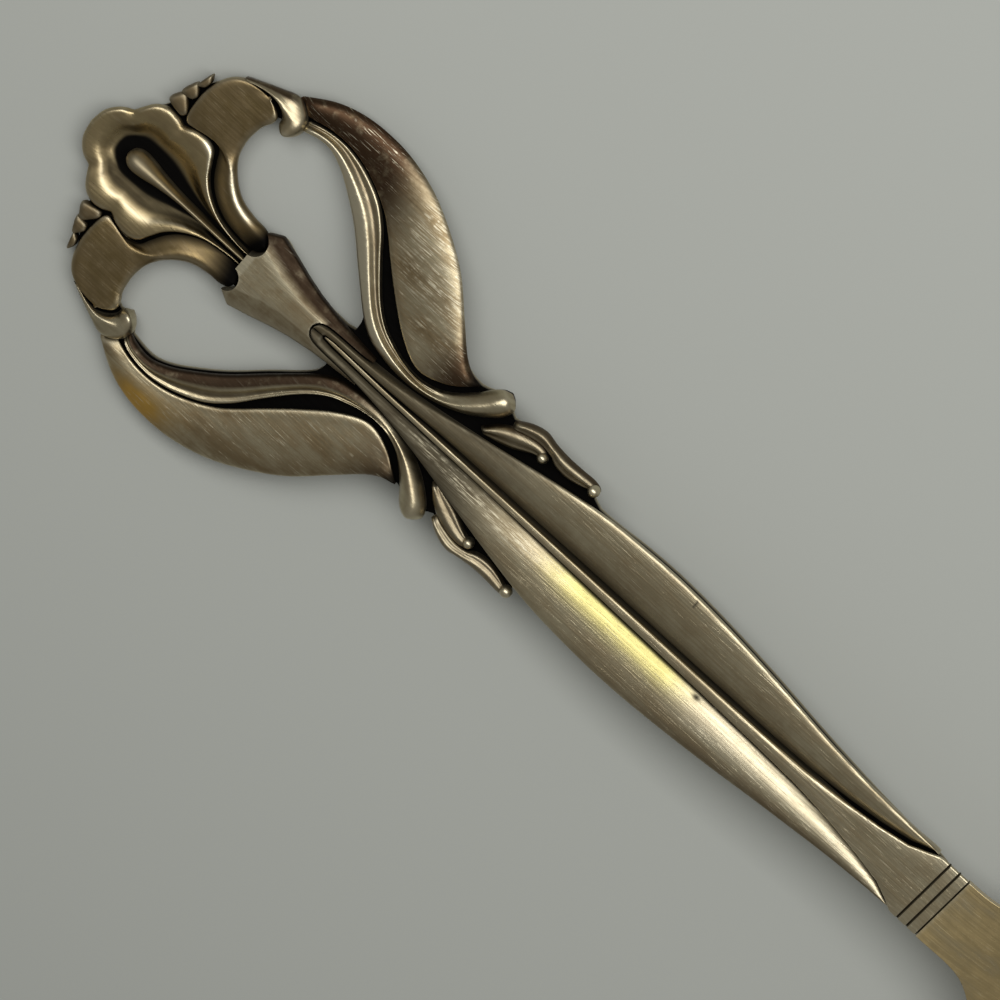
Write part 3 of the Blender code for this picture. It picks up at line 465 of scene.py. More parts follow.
# Shaft lobes: dark start, painted shade over the left one's outer rim there and along its side by the spine,
# a nick on the left one, scuffs, a painted yellow highlight and a dent on the right one
LOBE_TARNISH_AND_LIGHT = (
    # Dark start of the left lobe, with painted shade over its outer rim
    dict(mark="oxide", left=0.65, along=[(0.28, 0.42)], across=[(0.12, 0.3, 0.54)]),
    # Painted shade along the left lobe's side by the spine
    dict(mark="oxide", left=0.75, across=[(1.0, 0.62)]),
    dict(mark="oxide", left=0.9, along_stripe=(0.58, 0.002), across=[(0.219, 0.221), (0.061, 0.059)]),
    dict(mark="oxide", right=0.74, along=[(0.24, 0.42)]),
    dict(mark="oxide", right=0.95, across=[(0.97, 0.89)]),
    dict(mark="oxide", right=0.9, along_stripe=(0.655, 0.005), across_stripe=(0.88, 0.05)),
    dict(mark="russet", right=0.5, along=[(0.8, 0.4)], across=[(0.1, 0.45)]),
    # Painted highlight: yellow over the right lobe's inner half
    dict(mark="gold", right=1.0, along=[(0.46, 0.38), (0.6, 0.68)], across=[(0.78, 0.4)]),
    dict(mark="scuff", right=0.8, along=[(0.22, 0.13), (0.36, 0.45)], across_stripe=(0.66, 0.22)),
    dict(mark="scuff", right=0.35, along=[(0.68, 0.6)], across=[(0.5, 0.3)]),
    dict(mark="shine", right=0.3, along=[(0.67, 0.6)], across=[(0.5, 0.25)]),
)

# Settled tarnish: rays sent out from each point, the share of them that is met in a hollow,
# and how far an edge stands out before it is rubbed bright
SKY_RAYS = 44
RAY_REACH = 2.4
RAY_LIFT = 0.02
RAY_GRAZE = 0.15
HOLLOW_BLACK = (0.62, 0.24)
FINE_MESH = 0.4
FINE_EVENING = 6
COARSE_EVENING = 1
EDGE_EVENING = 3
EDGE_BULGE = 0.12
EDGE_START = 0.3
EDGE_SHINE = 0.5

# Noise of the finish: its lean, its fineness along the three axes and its detail
PATCH_GRAIN = (0.0, (110.0, 330.0, 330.0), 6.0)
CLOUD_GRAIN = (0.7, (620.0, 620.0, 620.0), 5.0)
SPECKLE_GRAIN = (0.4, (2700.0, 2700.0, 2700.0), 3.0)
LONG_LINES = (0.0, (45.0, 3600.0, 400.0), 5.0)
SHORT_LINES = (0.12, (230.0, 6000.0, 500.0), 3.0)
CROSS_LINES = (-0.6, (280.0, 6400.0, 500.0), 3.0)
RUB_LINES = (0.9, (320.0, 5200.0, 500.0), 3.0)
GRAIN_ROUGHNESS = 0.6

# Limits between which that noise turns into a part of the finish
BRUSHED = (0.36, 0.64)
SHORT_CUTS = (0.60, 0.68)
CROSS_CUTS = (0.62, 0.70)
CUT_CLOUDS = (0.42, 0.6)
LONG_RUBS = (0.54, 0.66)
SHORT_RUBS = (0.52, 0.64)
CROSS_RUBS = (0.56, 0.66)
RUB_CLOUDS = (0.36, 0.6)
PATCHES = (0.38, 0.66)
MOTTLES = (0.34, 0.7)
STAINS = (0.1, 0.5)
REDS = (0.0, 0.5)

# What tarnish, brushing, mottling and oxide add to the roughness, and the height of lines and speckles
PATCH_DULLING = 0.08
BRUSH_DULLING = 0.08
MOTTLE_DULLING = 0.12
OXIDE_DULLING = 0.4
BRUSH_HEIGHT = 0.4
CUT_HEIGHT = 0.3
SPECKLE_HEIGHT = 0.3
GRAIN_DEPTH = 0.04

# Stage: the point of the fork at the middle of the view, then floor, lamp and camera in metres
VIEW_CENTRE = (63.25, -0.95, 5.5)
FLOOR_REACH = 3.0
FLOOR_DROP = 0.0002
FLOOR_ROUGHNESS = 0.8
LAMP_SIZE = (0.6, 0.19)
LAMP_DIRECTION = (-0.02, 0.45, 0.89)
LAMP_DISTANCE = 0.36
SENSOR_WIDTH = 36.0
CAMERA_RANGE = (0.01, 20.0)


def length_setting(name, description, default):
    """Setting for a length in metres."""
    return bpy.props.FloatProperty(
        name=name, description=description, default=default, min=0.0001, unit="LENGTH", precision=5,
    )


def colour_setting(name, description, default):
    """Setting for a colour."""
    return bpy.props.FloatVectorProperty(
        name=name, description=description, default=default, min=0, max=1, subtype="COLOR",
    )


class ForkShape(bpy.types.PropertyGroup):
    """Sizes of the fork's worked surface."""

    row_step: length_setting("Row Step", "Spacing of the rows along an ornament", 0.0003)
    columns: bpy.props.IntProperty(
        name="Columns", description="Points across the top of an ornament", default=36, min=8,
    )
    rounding: bpy.props.IntProperty(
        name="Edge Rounding", description="How many times the section's corners are softened",
        default=3, min=0,
    )
    line_width: length_setting("Line Width", "Width of the lines engraved across the neck", 0.00035)
    line_depth: length_setting("Line Depth", "Depth of the lines engraved across the neck", 0.0003)
    line_slant: bpy.props.FloatProperty(
        name="Line Slant", description="How much the engraved lines lean along the fork", default=0.058,
    )
    bud_count: bpy.props.IntProperty(
        name="Buds", description="Buds on each sprig", default=3, min=2,
    )
    bud_size: length_setting("Bud Width", "Width of a sprig's first bud", 0.0029)
    bud_length: length_setting("Bud Length", "Length of a bud along its sprig", 0.003)


class ForkFinish(bpy.types.PropertyGroup):
    """Colours of the tarnished silver, some of which also paint shade and highlights."""

    # Worn silver also paints the highlights on petals, sepals and the left stem
    silver: colour_setting("Worn Silver", "Rubbed silver on edges and in scratches", (0.66, 0.60, 0.44))
    tan: colour_setting("Tan Tarnish", "Thin warm tarnish on open faces", (0.48, 0.42, 0.28))
    bronze: colour_setting("Bronze Tarnish", "Golden brown of the petals", (0.39, 0.31, 0.165))
    umber: colour_setting("Umber Tarnish", "Darker brown of the sepals", (0.20, 0.145, 0.065))
    amber: colour_setting("Amber Tarnish", "Warm brown of the fork head", (0.48, 0.37, 0.185))
    brown: colour_setting("Brown Tarnish", "Thicker tarnish in patches and on the buds", (0.22, 0.165, 0.09))
    gold: colour_setting("Golden Stain", "Yellow stain on the right leaf", (0.52, 0.32, 0.08))
    # Painted highlight: the yellow of the right lobe's highlight
    lemon_highlight: colour_setting("Lemon Sheen", "Pale yellow rub on the right lobe", (0.41, 0.36, 0.145))
    # Russet also paints shade on the stems' faces to the loops and on the sheath's bevel
    russet: colour_setting("Russet Tarnish", "Dark red tarnish on walls and bevels", (0.058, 0.034, 0.019))
    # Black oxide also paints shade on petals, sepals, stems, lobes and the sheath
    oxide: colour_setting("Black Oxide", "Black oxide in the hollows", (0.006, 0.0055, 0.005))


class ForkStage(bpy.types.PropertyGroup):
    """Floor, light and camera."""

    floor: colour_setting("Floor", "Colour of the plain floor", (0.36, 0.37, 0.34))
    ambient: colour_setting("Surroundings", "Soft light from all round", (0.25, 0.25, 0.24))
    window: bpy.props.FloatProperty(
        name="Window Lamp", description="Power of the large lamp on the left side of the fork",
        default=1.5, unit="POWER",
    )
    distance: length_setting("Camera Distance", "Distance from the camera to the handle", 1.2)
    view_width: length_setting("View Width", "Width of what the camera sees at the handle", 0.12)
    tilt: bpy.props.FloatProperty(
        name="Camera Tilt", description="Lean of the camera from straight above", default=math.radians(20),
        subtype="ANGLE",
    )
    roll: bpy.props.FloatProperty(
        name="Camera Roll", description="Turn of the picture about the line of sight",
        default=math.radians(41.15), subtype="ANGLE",
    )


def smooth_curve(points, steps):
    """Points spaced evenly along a smooth curve that passes through the given points."""
    knots = [Vector((x, y, 0.0)) for x, y in points]
    path = [knots[0]]
    for index in range(len(knots) - 1):
        start, end = knots[index], knots[index + 1]
        before = knots[index - 1] if index > 0 else start
        after = knots[index + 2] if index + 2 < len(knots) else end
        reach = (end - start).length / 3
        leave = (end - before).normalized() * reach
        arrive = (after - start).normalized() * reach
        path.extend(interpolate_bezier(start, start + leave, end - arrive, end, CURVE_STEPS)[1:])
    line = np.array([(point.x, point.y) for point in path])
    lengths = np.concatenate([[0.0], np.cumsum(np.linalg.norm(np.diff(line, axis=0), axis=1))])
    targets = np.linspace(0.0, lengths[-1], steps + 1)
    return np.stack([np.interp(targets, lengths, line[:, axis]) for axis in (0, 1)], axis=1)


def joined_curves(segments, steps):
    """Smooth curves laid end to end, with a corner where two of them meet."""
    curves = [smooth_curve(segment, count) for segment, count in zip(segments, steps)]
    return np.concatenate([curves[0]] + [curve[1:] for curve in curves[1:]])


def ease(share):
    """Rise from 0 to 1 that is level at both ends."""
    return (1 - np.cos(np.pi * np.clip(share, 0.0, 1.0))) / 2


def ease_between(value, limits):
    """Eased share of the way from one limit to the other."""
    return ease((value - limits[0]) / (limits[1] - limits[0]))


def nose(t, start, end):
    """Share of full height near a piece's two rounded ends."""
    share = 1.0
    if t < start:
        share = math.sqrt(max(1 - (1 - t / start) ** 2, 0.0))
    if t > 1 - end:
        share = min(share, math.sqrt(max(1 - ((t - 1 + end) / end) ** 2, 0.0)))
    return share


def blend(section, other, share):
    """Section part of the way from one to another."""
    return np.array(section) * (1 - share) + np.array(other) * share


def handle_back(x):
    """Height of the handle's back above the table."""
    bend = RISE * np.clip(x - FLAT_END, 0.0, RISE_START) ** 2 / (2 * RISE_START)
    return bend + RISE * np.maximum(x - RISE_START, 0.0)


def head_height(x, y):
    """Height of the head's back before it is pressed flat: crest, dip to the bowl, turned-up tips."""
    length = BOWL_LOW - HEAD_START
    s = np.clip((x - HEAD_START) / length, 0.0, 1.0)
    fall = 2 * s**3 - 3 * s**2 + 1
    run_out = RISE * length * (s**3 - 2 * s**2 + s)
    height = handle_back(HEAD_START) * fall + run_out - BOWL_PRESS * (1 - fall)
    height += TIP_RISE * (np.maximum(x - BOWL_LOW, 0.0) / (TINE_TIP - BOWL_LOW)) ** 2
    return height + BOWL_DISH * ease((x - HEAD_START) / DISH_LENGTH) * (y / HEAD_HALF_WIDTH) ** 2


def head_top(x, y):
    """Height of the head's upper face."""
    thick = NECK_TOP + (HEAD_THICKNESS - NECK_TOP) * ease((x - HEAD_START) / THINNING)
    thick += (TINE_THICKNESS - HEAD_THICKNESS) * ease_between(x, (TINE_ROOT, TINE_TIP))
    return head_height(x, y) + thick


def add_node(tree, kind, links=None, **settings):
    """Shader or geometry node with its settings made and its inputs set or linked."""
    item = tree.nodes.new(kind)
    for key, value in settings.items():
        setattr(item, key, value)
    for key, value in (links or {}).items():
        if isinstance(value, bpy.types.NodeSocket):
            tree.links.new(value, item.inputs[key])
        else:
            item.inputs[key].default_value = value
    return item


def mixed(tree, share, first, second):
    """Colour part of the way from one to another."""
    item = add_node(tree, "ShaderNodeMix", {"Factor": share}, data_type="RGBA")
    for socket, value in ((item.inputs[6], first), (item.inputs[7], second)):
        if isinstance(value, bpy.types.NodeSocket):
            tree.links.new(value, socket)
        else:
            socket.default_value = (*value, 1.0)
    return item.outputs[2]


def maths(tree, operation, first, second):
    """Sum, product or other operation on two numbers, kept between 0 and 1."""
    item = add_node(tree, "ShaderNodeMath", {0: first, 1: second}, operation=operation, use_clamp=True)
    return item.outputs[0]


def ramped(tree, value, limits):
    """Number that goes from 0 to 1 as a value goes from one limit to the other."""
    links = {"Value": value, "From Min": limits[0], "From Max": limits[1]}
    return add_node(tree, "ShaderNodeMapRange", links, interpolation_type="SMOOTHSTEP").outputs[0]


def grain(tree, place, turn, kind):
    """Noise that is drawn out along one direction of the fork."""
    lean, scale, detail = kind
    links = {"Vector": place, "Rotation": (0.0, 0.0, turn + lean), "Scale": scale}
    drawn = add_node(tree, "ShaderNodeMapping", links)
    links = {"Vector": drawn.outputs[0], "Scale": 1.0, "Detail": detail, "Roughness": GRAIN_ROUGHNESS}
    return add_node(tree, "ShaderNodeTexNoise", links).outputs[0]


def added(tree, *parts):
    """Sum of products: each part is a number and its weight."""
    total = 0.0
    for number, weight in parts:
        total = maths(tree, "ADD", maths(tree, "MULTIPLY", number, weight), total)
    return total


def tarnished_silver(name, finish, look):
    """Silver with patchy tarnish, black oxide in hollows, rubbed edges and fine scratches, plus painted shade
    and painted highlights carried by the same marks.
    """
    material = bpy.data.materials.new(name)
    material.use_nodes = True
    tree = material.node_tree
    shader = tree.nodes["Principled BSDF"]
    place = add_node(tree, "ShaderNodeTexCoord").outputs["Object"]
    spots = {
        key: add_node(tree, "ShaderNodeAttribute", attribute_name=key).outputs["Fac"]
        for key in ("oxide", "shine", "gold", "russet", "scuff")
    }
    patch, long_lines, short_lines, cross_lines, rub_lines = (
        grain(tree, place, look["turn"], kind)
        for kind in (PATCH_GRAIN, LONG_LINES, SHORT_LINES, CROSS_LINES, RUB_LINES)
    )
    cloud, speckle = (grain(tree, place, 0.0, kind) for kind in (CLOUD_GRAIN, SPECKLE_GRAIN))
    brushed = ramped(tree, long_lines, BRUSHED)
    cuts = maths(tree, "ADD", ramped(tree, short_lines, SHORT_CUTS), ramped(tree, cross_lines, CROSS_CUTS))
    scratched = maths(tree, "MULTIPLY", cuts, ramped(tree, cloud, CUT_CLOUDS))
    scratched = maths(tree, "MULTIPLY", scratched, look["scratches"])
    rubs = maths(tree, "ADD", ramped(tree, rub_lines, LONG_RUBS), ramped(tree, short_lines, SHORT_RUBS))
    rubs = maths(tree, "ADD", rubs, ramped(tree, cross_lines, CROSS_RUBS))
    scuffed = maths(tree, "MULTIPLY", rubs, ramped(tree, cloud, RUB_CLOUDS))
    scuffed = maths(tree, "MULTIPLY", scuffed, spots["scuff"])
    tarnish = maths(tree, "MULTIPLY", ramped(tree, patch, PATCHES), look["patches"])
    mottle = maths(tree, "MULTIPLY", ramped(tree, cloud, MOTTLES), look["mottle"])
    colour = look["tint"]
    # Layers over the tint: the black and russet layers also paint shade, and the worn silver and stain layers
    # also paint highlights, where the marks put them
    for share, coat in (
        (tarnish, finish.brown),
        (mottle, finish.brown),
        (maths(tree, "MULTIPLY", brushed, look["streaks"]), finish.brown),
        (maths(tree, "MULTIPLY", spots["gold"], ramped(tree, patch, STAINS)), look["stain_and_sheen"]),
        (maths(tree, "MULTIPLY", spots["russet"], ramped(tree, cloud, REDS)), finish.russet),
        (maths(tree, "ADD", spots["shine"], scratched), finish.silver),
        (spots["oxide"], finish.oxide),
        (scuffed, finish.silver),
    ):
        colour = mixed(tree, share, colour, coat)
    tree.links.new(colour, shader.inputs["Base Color"])
    dull = added(
        tree, (tarnish, PATCH_DULLING), (brushed, BRUSH_DULLING), (mottle, MOTTLE_DULLING),
        (spots["oxide"], OXIDE_DULLING),
    )
    tree.links.new(maths(tree, "ADD", dull, look["polish"]), shader.inputs["Roughness"])
    shader.inputs["Metallic"].default_value = 1.0
    height = added(tree, (brushed, BRUSH_HEIGHT), (cuts, CUT_HEIGHT), (speckle, SPECKLE_HEIGHT))
    links = {"Strength": look["relief"], "Distance": GRAIN_DEPTH * MM, "Height": height}
    bump = add_node(tree, "ShaderNodeBump", links)
    tree.links.new(bump.outputs["Normal"], shader.inputs["Normal"])
    return material


def face_outward(mesh):
    """Turn all faces of a closed mesh outward."""
    body = bmesh.new()
    body.from_mesh(mesh)
    bmesh.ops.recalc_face_normals(body, faces=body.faces[:])
    body.to_mesh(mesh)
    body.free()


def made_mesh(holder):
    """Mesh of an object with its modifiers carried out."""
    depsgraph = bpy.context.evaluated_depsgraph_get()
    return bpy.data.meshes.new_from_object(holder.evaluated_get(depsgraph), depsgraph=depsgraph)


def finish_piece(name, points, faces, material, nodes, marks=None):
    """Smooth closed mesh in metres as an object that rides on the fork and stands for its solids."""
    points = np.array(points, dtype=float)
    points[:, 0] -= MIDDLE
    mesh = bpy.data.meshes.new(name)
    mesh.from_pydata((points * MM).tolist(), [], faces)
    for key, values in (marks or {}).items():
        layer = mesh.attributes.new(key, "FLOAT", "POINT")
        layer.data.foreach_set("value", np.ascontiguousarray(values, dtype=np.float32).ravel())
    face_outward(mesh)
    return dress(name, mesh, material, nodes)


def dress(name, mesh, material, nodes):
    """Object with its material, its ride and the solids that it stands for."""
    mesh.materials.clear()
    mesh.materials.append(material)
    mesh.shade_smooth()
    mesh.set_sharp_from_angle(angle=SHARP_ANGLE)
    piece = bpy.data.objects.new(name, mesh)
    bpy.context.scene.collection.objects.link(piece)
    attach(piece, "root")
    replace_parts(piece, *nodes)
    return piece


def ring_faces(rows, size):
    """Faces of a solid through a row of equal rings, whose ends are filled across from side to side."""
    faces = []
    for row in range(rows - 1):
        here = row * size
        for index in range(size):
            after = (index + 1) % size
            faces.append((here + index, here + after, here + size + after, here + size + index))
    for base in (0, (rows - 1) * size):
        for index in range(size // 2):
            corners = list(dict.fromkeys((index, index + 1, size - 2 - index, size - 1 - index)))
            if len(corners) > 2:
                faces.append([base + corner for corner in corners])
    return faces


def softened(ring, times):
    """Open ring with its corners softened and its two feet kept."""
    ring = np.array(ring)
    for _ in range(times):
        ring[1:-1] = (ring[:-2] + 2 * ring[1:-1] + ring[2:]) / 4
    return ring


def inward(point, toward, distance):
    """A point moved toward another, by a fifth of the way at most."""
    step = toward - point
    length = max(np.linalg.norm(step), LEAST_STEP)
    return point + step / length * min(distance, length / 5)


def with_round_ends(edge_a, edge_b, roundness):
    """Two edges with rounded ends added, and the share of the length at each row."""
    share = np.linspace(0.0, 1.0, len(edge_a))
    turns = np.radians(ROUND_END_TURNS)[:, None]
    ends = []
    for last, before in ((0, 2), (-1, -3)):
        middle = (edge_a[last] + edge_b[last]) / 2
        half = (edge_a[last] - edge_b[last]) / 2
        ahead = middle - (edge_a[before] + edge_b[before]) / 2
        out = np.array([-half[1], half[0]])
        out *= roundness * np.sign(out @ ahead)
        tip = middle + out * np.sin(turns)
        ends.append((tip + half * np.cos(turns), tip - half * np.cos(turns)))
    (start_a, start_b), (end_a, end_b) = ends
    edge_a = np.concatenate([start_a[::-1], edge_a, end_a])
    edge_b = np.concatenate([start_b[::-1], edge_b, end_b])
    share = np.concatenate([np.zeros(len(start_a)), share, np.ones(len(end_a))])
    return edge_a, edge_b, share


def relief_points(edge_a, edge_b, share, section, side, undercut):
    """Rings between two edges: a modelled top, walls that draw in a little and a foot on the plate.

    Across gives each point's place: below 0 on the first wall, above 1 on the second."""
    shape = bpy.context.scene.fork_shape
    rings = []
    across = []
    steps = np.array(WALL_STEPS)[:, None]
    for a, b, t in zip(edge_a, edge_b, share):
        span = b - a
        width = max(np.linalg.norm(span), LEAST_WIDTH)
        a = a - span / width * EDGE_LOSS
        b = b + span / width * EDGE_LOSS
        scale = (max(width, LEAST_SECTION), 1.0)
        top = smooth_curve(np.array(section(t)) * scale, shape.columns) / scale
        crown = np.column_stack([a + (b - a) * top[:, :1], top[:, 1]])
        foot_a = np.array([*inward(a, b, undercut), PLATE])
        foot_b = np.array([*inward(b, a, undercut), PLATE])
        wall_a = foot_a + (crown[0] - foot_a) * steps
        wall_b = crown[-1] + (foot_b - crown[-1]) * (1 - steps[::-1])
        ring = softened(np.concatenate([wall_a, crown, wall_b]), shape.rounding)
        ring[:, 2] += handle_back(ring[:, 0])
        rings.append(ring * (1, side, 1))
        across.append(np.concatenate([steps[:, 0] - 1, top[:, 0], 2 - steps[::-1, 0]]))
    return np.array(rings), np.array(across)


def bead_rings(place, side):
    """Rings of a domed bead: its middle, radius and height above the handle's back."""
    x, y, radius, height = place
    turns = np.linspace(0, 2 * math.pi, BEAD_TURNS, endpoint=False)
    rings = []
    for turn in np.linspace(BEAD_POLE, math.pi - BEAD_POLE, BEAD_ROWS):
        wide = radius * math.sin(turn)
        tall = (height - BEAD_SEAT) / 2 * math.sin(turn)
        along = np.full(BEAD_TURNS, x - radius * math.cos(turn))
        up = (height + BEAD_SEAT) / 2 + tall * np.sin(turns) + handle_back(x)
        rings.append(np.column_stack([along, side * (y + wide * np.cos(turns)), up]))
    return np.array(rings)


def loft(name, rings, material, nodes, marks=None, bead=None):
    """Piece through equal rings, with a bead where one is given."""
    rows, size, _ = rings.shape
    points = rings.reshape(-1, 3)
    faces = ring_faces(rows, size)
    marks = {key: np.ravel(values) for key, values in (marks or {}).items()}
    if bead is not None:
        base = len(points)
        rows, size, _ = bead.shape
        points = np.concatenate([points, bead.reshape(-1, 3)])
        faces += [[base + corner for corner in face] for face in ring_faces(rows, size)]
        marks = {key: np.concatenate([values, np.zeros(rows * size)]) for key, values in marks.items()}
    return finish_piece(name, points, faces, material, nodes, marks)


def edge_rows(edge, shape):
    """Number of rows for an ornament, from the length of its longer edge."""
    line = smooth_curve(edge, RULER_STEPS)
    return int(np.linalg.norm(np.diff(line, axis=0), axis=1).sum() * MM / shape.row_step)


def fade(values, low, high, rest=0.0):
    """1 at the low limit, the rest at the high one and smooth between; the limits may be swapped."""
    share = np.clip((values - high) / (low - high), 0.0, 1.0)
    return rest + (1 - rest) * share * share * (3 - 2 * share)


def tarnish_and_light_marks(patches, along, across, side):
    """Strength of each mark over a piece: that of the strongest patch at each point."""
    marks = {}
    for patch in patches:
        strength = np.full(along.shape, patch.get("left" if side > 0 else "right", 0.0))
        for way, values in (("along", along), ("across", across)):
            for limits in patch.get(way, ()):
                strength *= fade(values, *limits)
            if way + "_stripe" in patch:
                middle, width = patch[way + "_stripe"]
                strength *= np.exp(-(((values - middle) / width) ** 2))
        strongest = np.maximum(marks.get(patch["mark"], 0.0), strength)
        marks[patch["mark"]] = np.minimum(strongest, 1.0)
    return marks


def add_relief(
    name, edges, section, tarnish, material, undercut=UNDERCUT, roundness=ROUND_END, end=None,
):
    """Left and right ornament between two smooth edges, with its own places of tarnish, painted shade and
    painted highlights.
    """
    shape = bpy.context.scene.fork_shape
    rows = max(edge_rows(edge, shape) for edge in edges)
    edge_a, edge_b, share = with_round_ends(*(smooth_curve(edge, rows) for edge in edges), roundness)
    for hand, side in (("left", 1), ("right", -1)):
        rings, across = relief_points(edge_a, edge_b, share, section, side, undercut)
        marks = tarnish_and_light_marks(tarnish, np.repeat(share[:, None], rings.shape[1], axis=1), across, side)
        bead = bead_rings(end, side) if end else None
        node = name + "_" + hand
        loft(node + "_relief", rings, material, [node], marks, bead)


def arched(section, top, end):
    """Section of a given height that sinks to its edges at a rounded end."""
    rise = (top - EDGE_FOOT) * max(end, LOW_END)
    return [(across, EDGE_FOOT + rise * share) for across, share in section]


def sepal_section(t):
    """Low beside the blossom with a round edge at the loop, then a flat blade at the tip."""
    return blend(SEPAL_FOOT_SECTION, SEPAL_BLADE_SECTION, ease_between(t, SEPAL_BLADE))


def hook_section(t):
    """Thin at the start, round and tall at the knob."""
    top = HOOK_TOP[0] + (HOOK_TOP[1] - HOOK_TOP[0]) * ease(t / HOOK_GROWTH)
    section = blend(HOOK_SECTION, HOOK_KNOB_SECTION, ease_between(t, HOOK_KNOB))
    return arched(section, top, nose(t, 0.0, HOOK_NOSE))


def leaf_section(t):
    """Low pillow that falls to the outer rim."""
    end = nose(t, *LEAF_NOSES)
    return [(across, SEAT + LEAF_LOW * (1 - end) + height * end) for across, height in LEAF_SECTION]


def stem_section(t):
    """Ridged band that turns into a round bead at the curled end."""
    end = nose(t, *STEM_NOSES)
    section = blend(STEM_BAND, STEM_BEAD, ease_between(t, STEM_BEAD_RANGE))
    return [(across, EDGE_FOOT + (height - EDGE_FOOT) * end) for across, height in section]


def scroll_section(t):
    """Half-round scroll that ends in a small bead."""
    rise = SCROLL_TOP[0] + (SCROLL_TOP[1] - SCROLL_TOP[0]) * ease_between(t, SCROLL_BEAD_RANGE)
    return arched(SCROLL_SECTION, SCROLL_LOW + rise * nose(t, *SCROLL_NOSES), 1.0)


def lobe_section(t):
    """Pillow that falls to the spine's seam and rounds over at the outer rim."""
    section = blend(LOBE_TONGUE_SECTION, LOBE_PILLOW_SECTION, ease_between(t, LOBE_TONGUE_RANGE))
    return blend(section, LOBE_NECK_SECTION, ease_between(t, LOBE_NECK_RANGE))


def silver(key):
    """Material of a group of pieces, made when it is first asked for."""
    known = bpy.data.materials.get(key)
    if known:
        return known
    finish = bpy.context.scene.fork_finish
    plain = {
        "tint": finish.tan, "stain_and_sheen": finish.gold, "polish": 0.3, "turn": 0.0, "scratches": 0.3,
        "patches": 0.5, "mottle": 0.35, "streaks": 0.3, "relief": 0.3,
    }
    looks = {
        "petal_silver": {
            "tint": finish.bronze, "polish": 0.25, "turn": 0.3, "scratches": 0.15, "streaks": 0.1,
        },
        "sepal_silver": {
            "tint": finish.umber, "polish": 0.29, "turn": -0.5, "scratches": 0.12, "mottle": 0.45,
            "streaks": 0.1,
        },
        "bud_silver": {"tint": finish.brown, "scratches": 0.1, "streaks": 0.1},
        "leaf_silver": {
            "turn": math.radians(18), "scratches": 0.7, "patches": 1.0, "mottle": 0.65, "streaks": 0.5,
        },
        "stem_silver": {"polish": 0.26, "turn": 0.8, "scratches": 0.1, "patches": 0.4, "streaks": 0.1},
        "calyx_silver": {"polish": 0.33, "turn": 0.1, "scratches": 0.25, "patches": 0.7, "mottle": 0.7},
        # The shaft's stain colour is the painted yellow highlight
        "shaft_silver": {"stain_and_sheen": finish.lemon_highlight, "scratches": 0.35, "streaks": 0.45, "relief": 0.5},
        "head_silver": {
            "stain_and_sheen": finish.amber, "polish": 0.33, "turn": 0.2, "patches": 0.6, "mottle": 0.5,
        },
        "ground_silver": {"polish": 0.33, "patches": 0.9},
    }
    return tarnished_silver(key, finish, plain | looks[key])


def inset_outline(outline, distance):
    """Closed outline, drawn anticlockwise, moved inward by a distance."""
    along = np.roll(outline, -1, axis=0) - np.roll(outline, 1, axis=0)
    along /= np.linalg.norm(along, axis=1)[:, None]
    return outline + np.column_stack([-along[:, 1], along[:, 0]]) * distance


class FORK_OT_add_back_plate(bpy.types.Operator):
    """Add the pierced ground plate under the whole handle"""

    bl_idname = "fork.add_back_plate"
    bl_label = "Back Plate"

    def execute(self, context):
        body = bmesh.new()
        half = joined_curves(PLATE_OUTER, PLATE_OUTER_STEPS)
        outer = np.concatenate([half * (1, -1), half[:0:-1]])
        loop = inset_outline(joined_curves(LOOP_EDGE, LOOP_STEPS)[:-1], -PLATE_INSET)
        for outline in (inset_outline(outer, PLATE_INSET), loop, loop * (1, -1)):
            corners = [body.verts.new((x, y, 0.0)) for x, y in outline]
            for here, there in zip(corners, corners[1:] + corners[:1]):
                body.edges.new((here, there))
        bmesh.ops.triangle_fill(body, edges=body.edges[:], use_beauty=True, use_dissolve=False)
        for place in PLATE_CUTS:
            parts = body.verts[:] + body.edges[:] + body.faces[:]
            bmesh.ops.bisect_plane(
                body, geom=parts, plane_co=(place, 0, 0), plane_no=(1, 0, 0), dist=PLATE_SNAP,
            )
        raised = bmesh.ops.extrude_face_region(body, geom=body.faces[:])
        tops = {item for item in raised["geom"] if isinstance(item, bmesh.types.BMVert)}
        for vertex in body.verts:
            vertex.co.z = handle_back(vertex.co.x) + (PLATE if vertex in tops else 0.0)
        body.verts.index_update()
        points = [tuple(vertex.co) for vertex in body.verts]
        upper = [vertex in tops for vertex in body.verts]
        faces = [[vertex.index for vertex in face.verts] for face in body.faces]
        body.free()
        marks = {"oxide": np.array(upper, dtype=float)}
        metal = silver("ground_silver")
        finish_piece("ground_plate", points, faces, metal, ["back_plate"], marks)
        return {"FINISHED"}


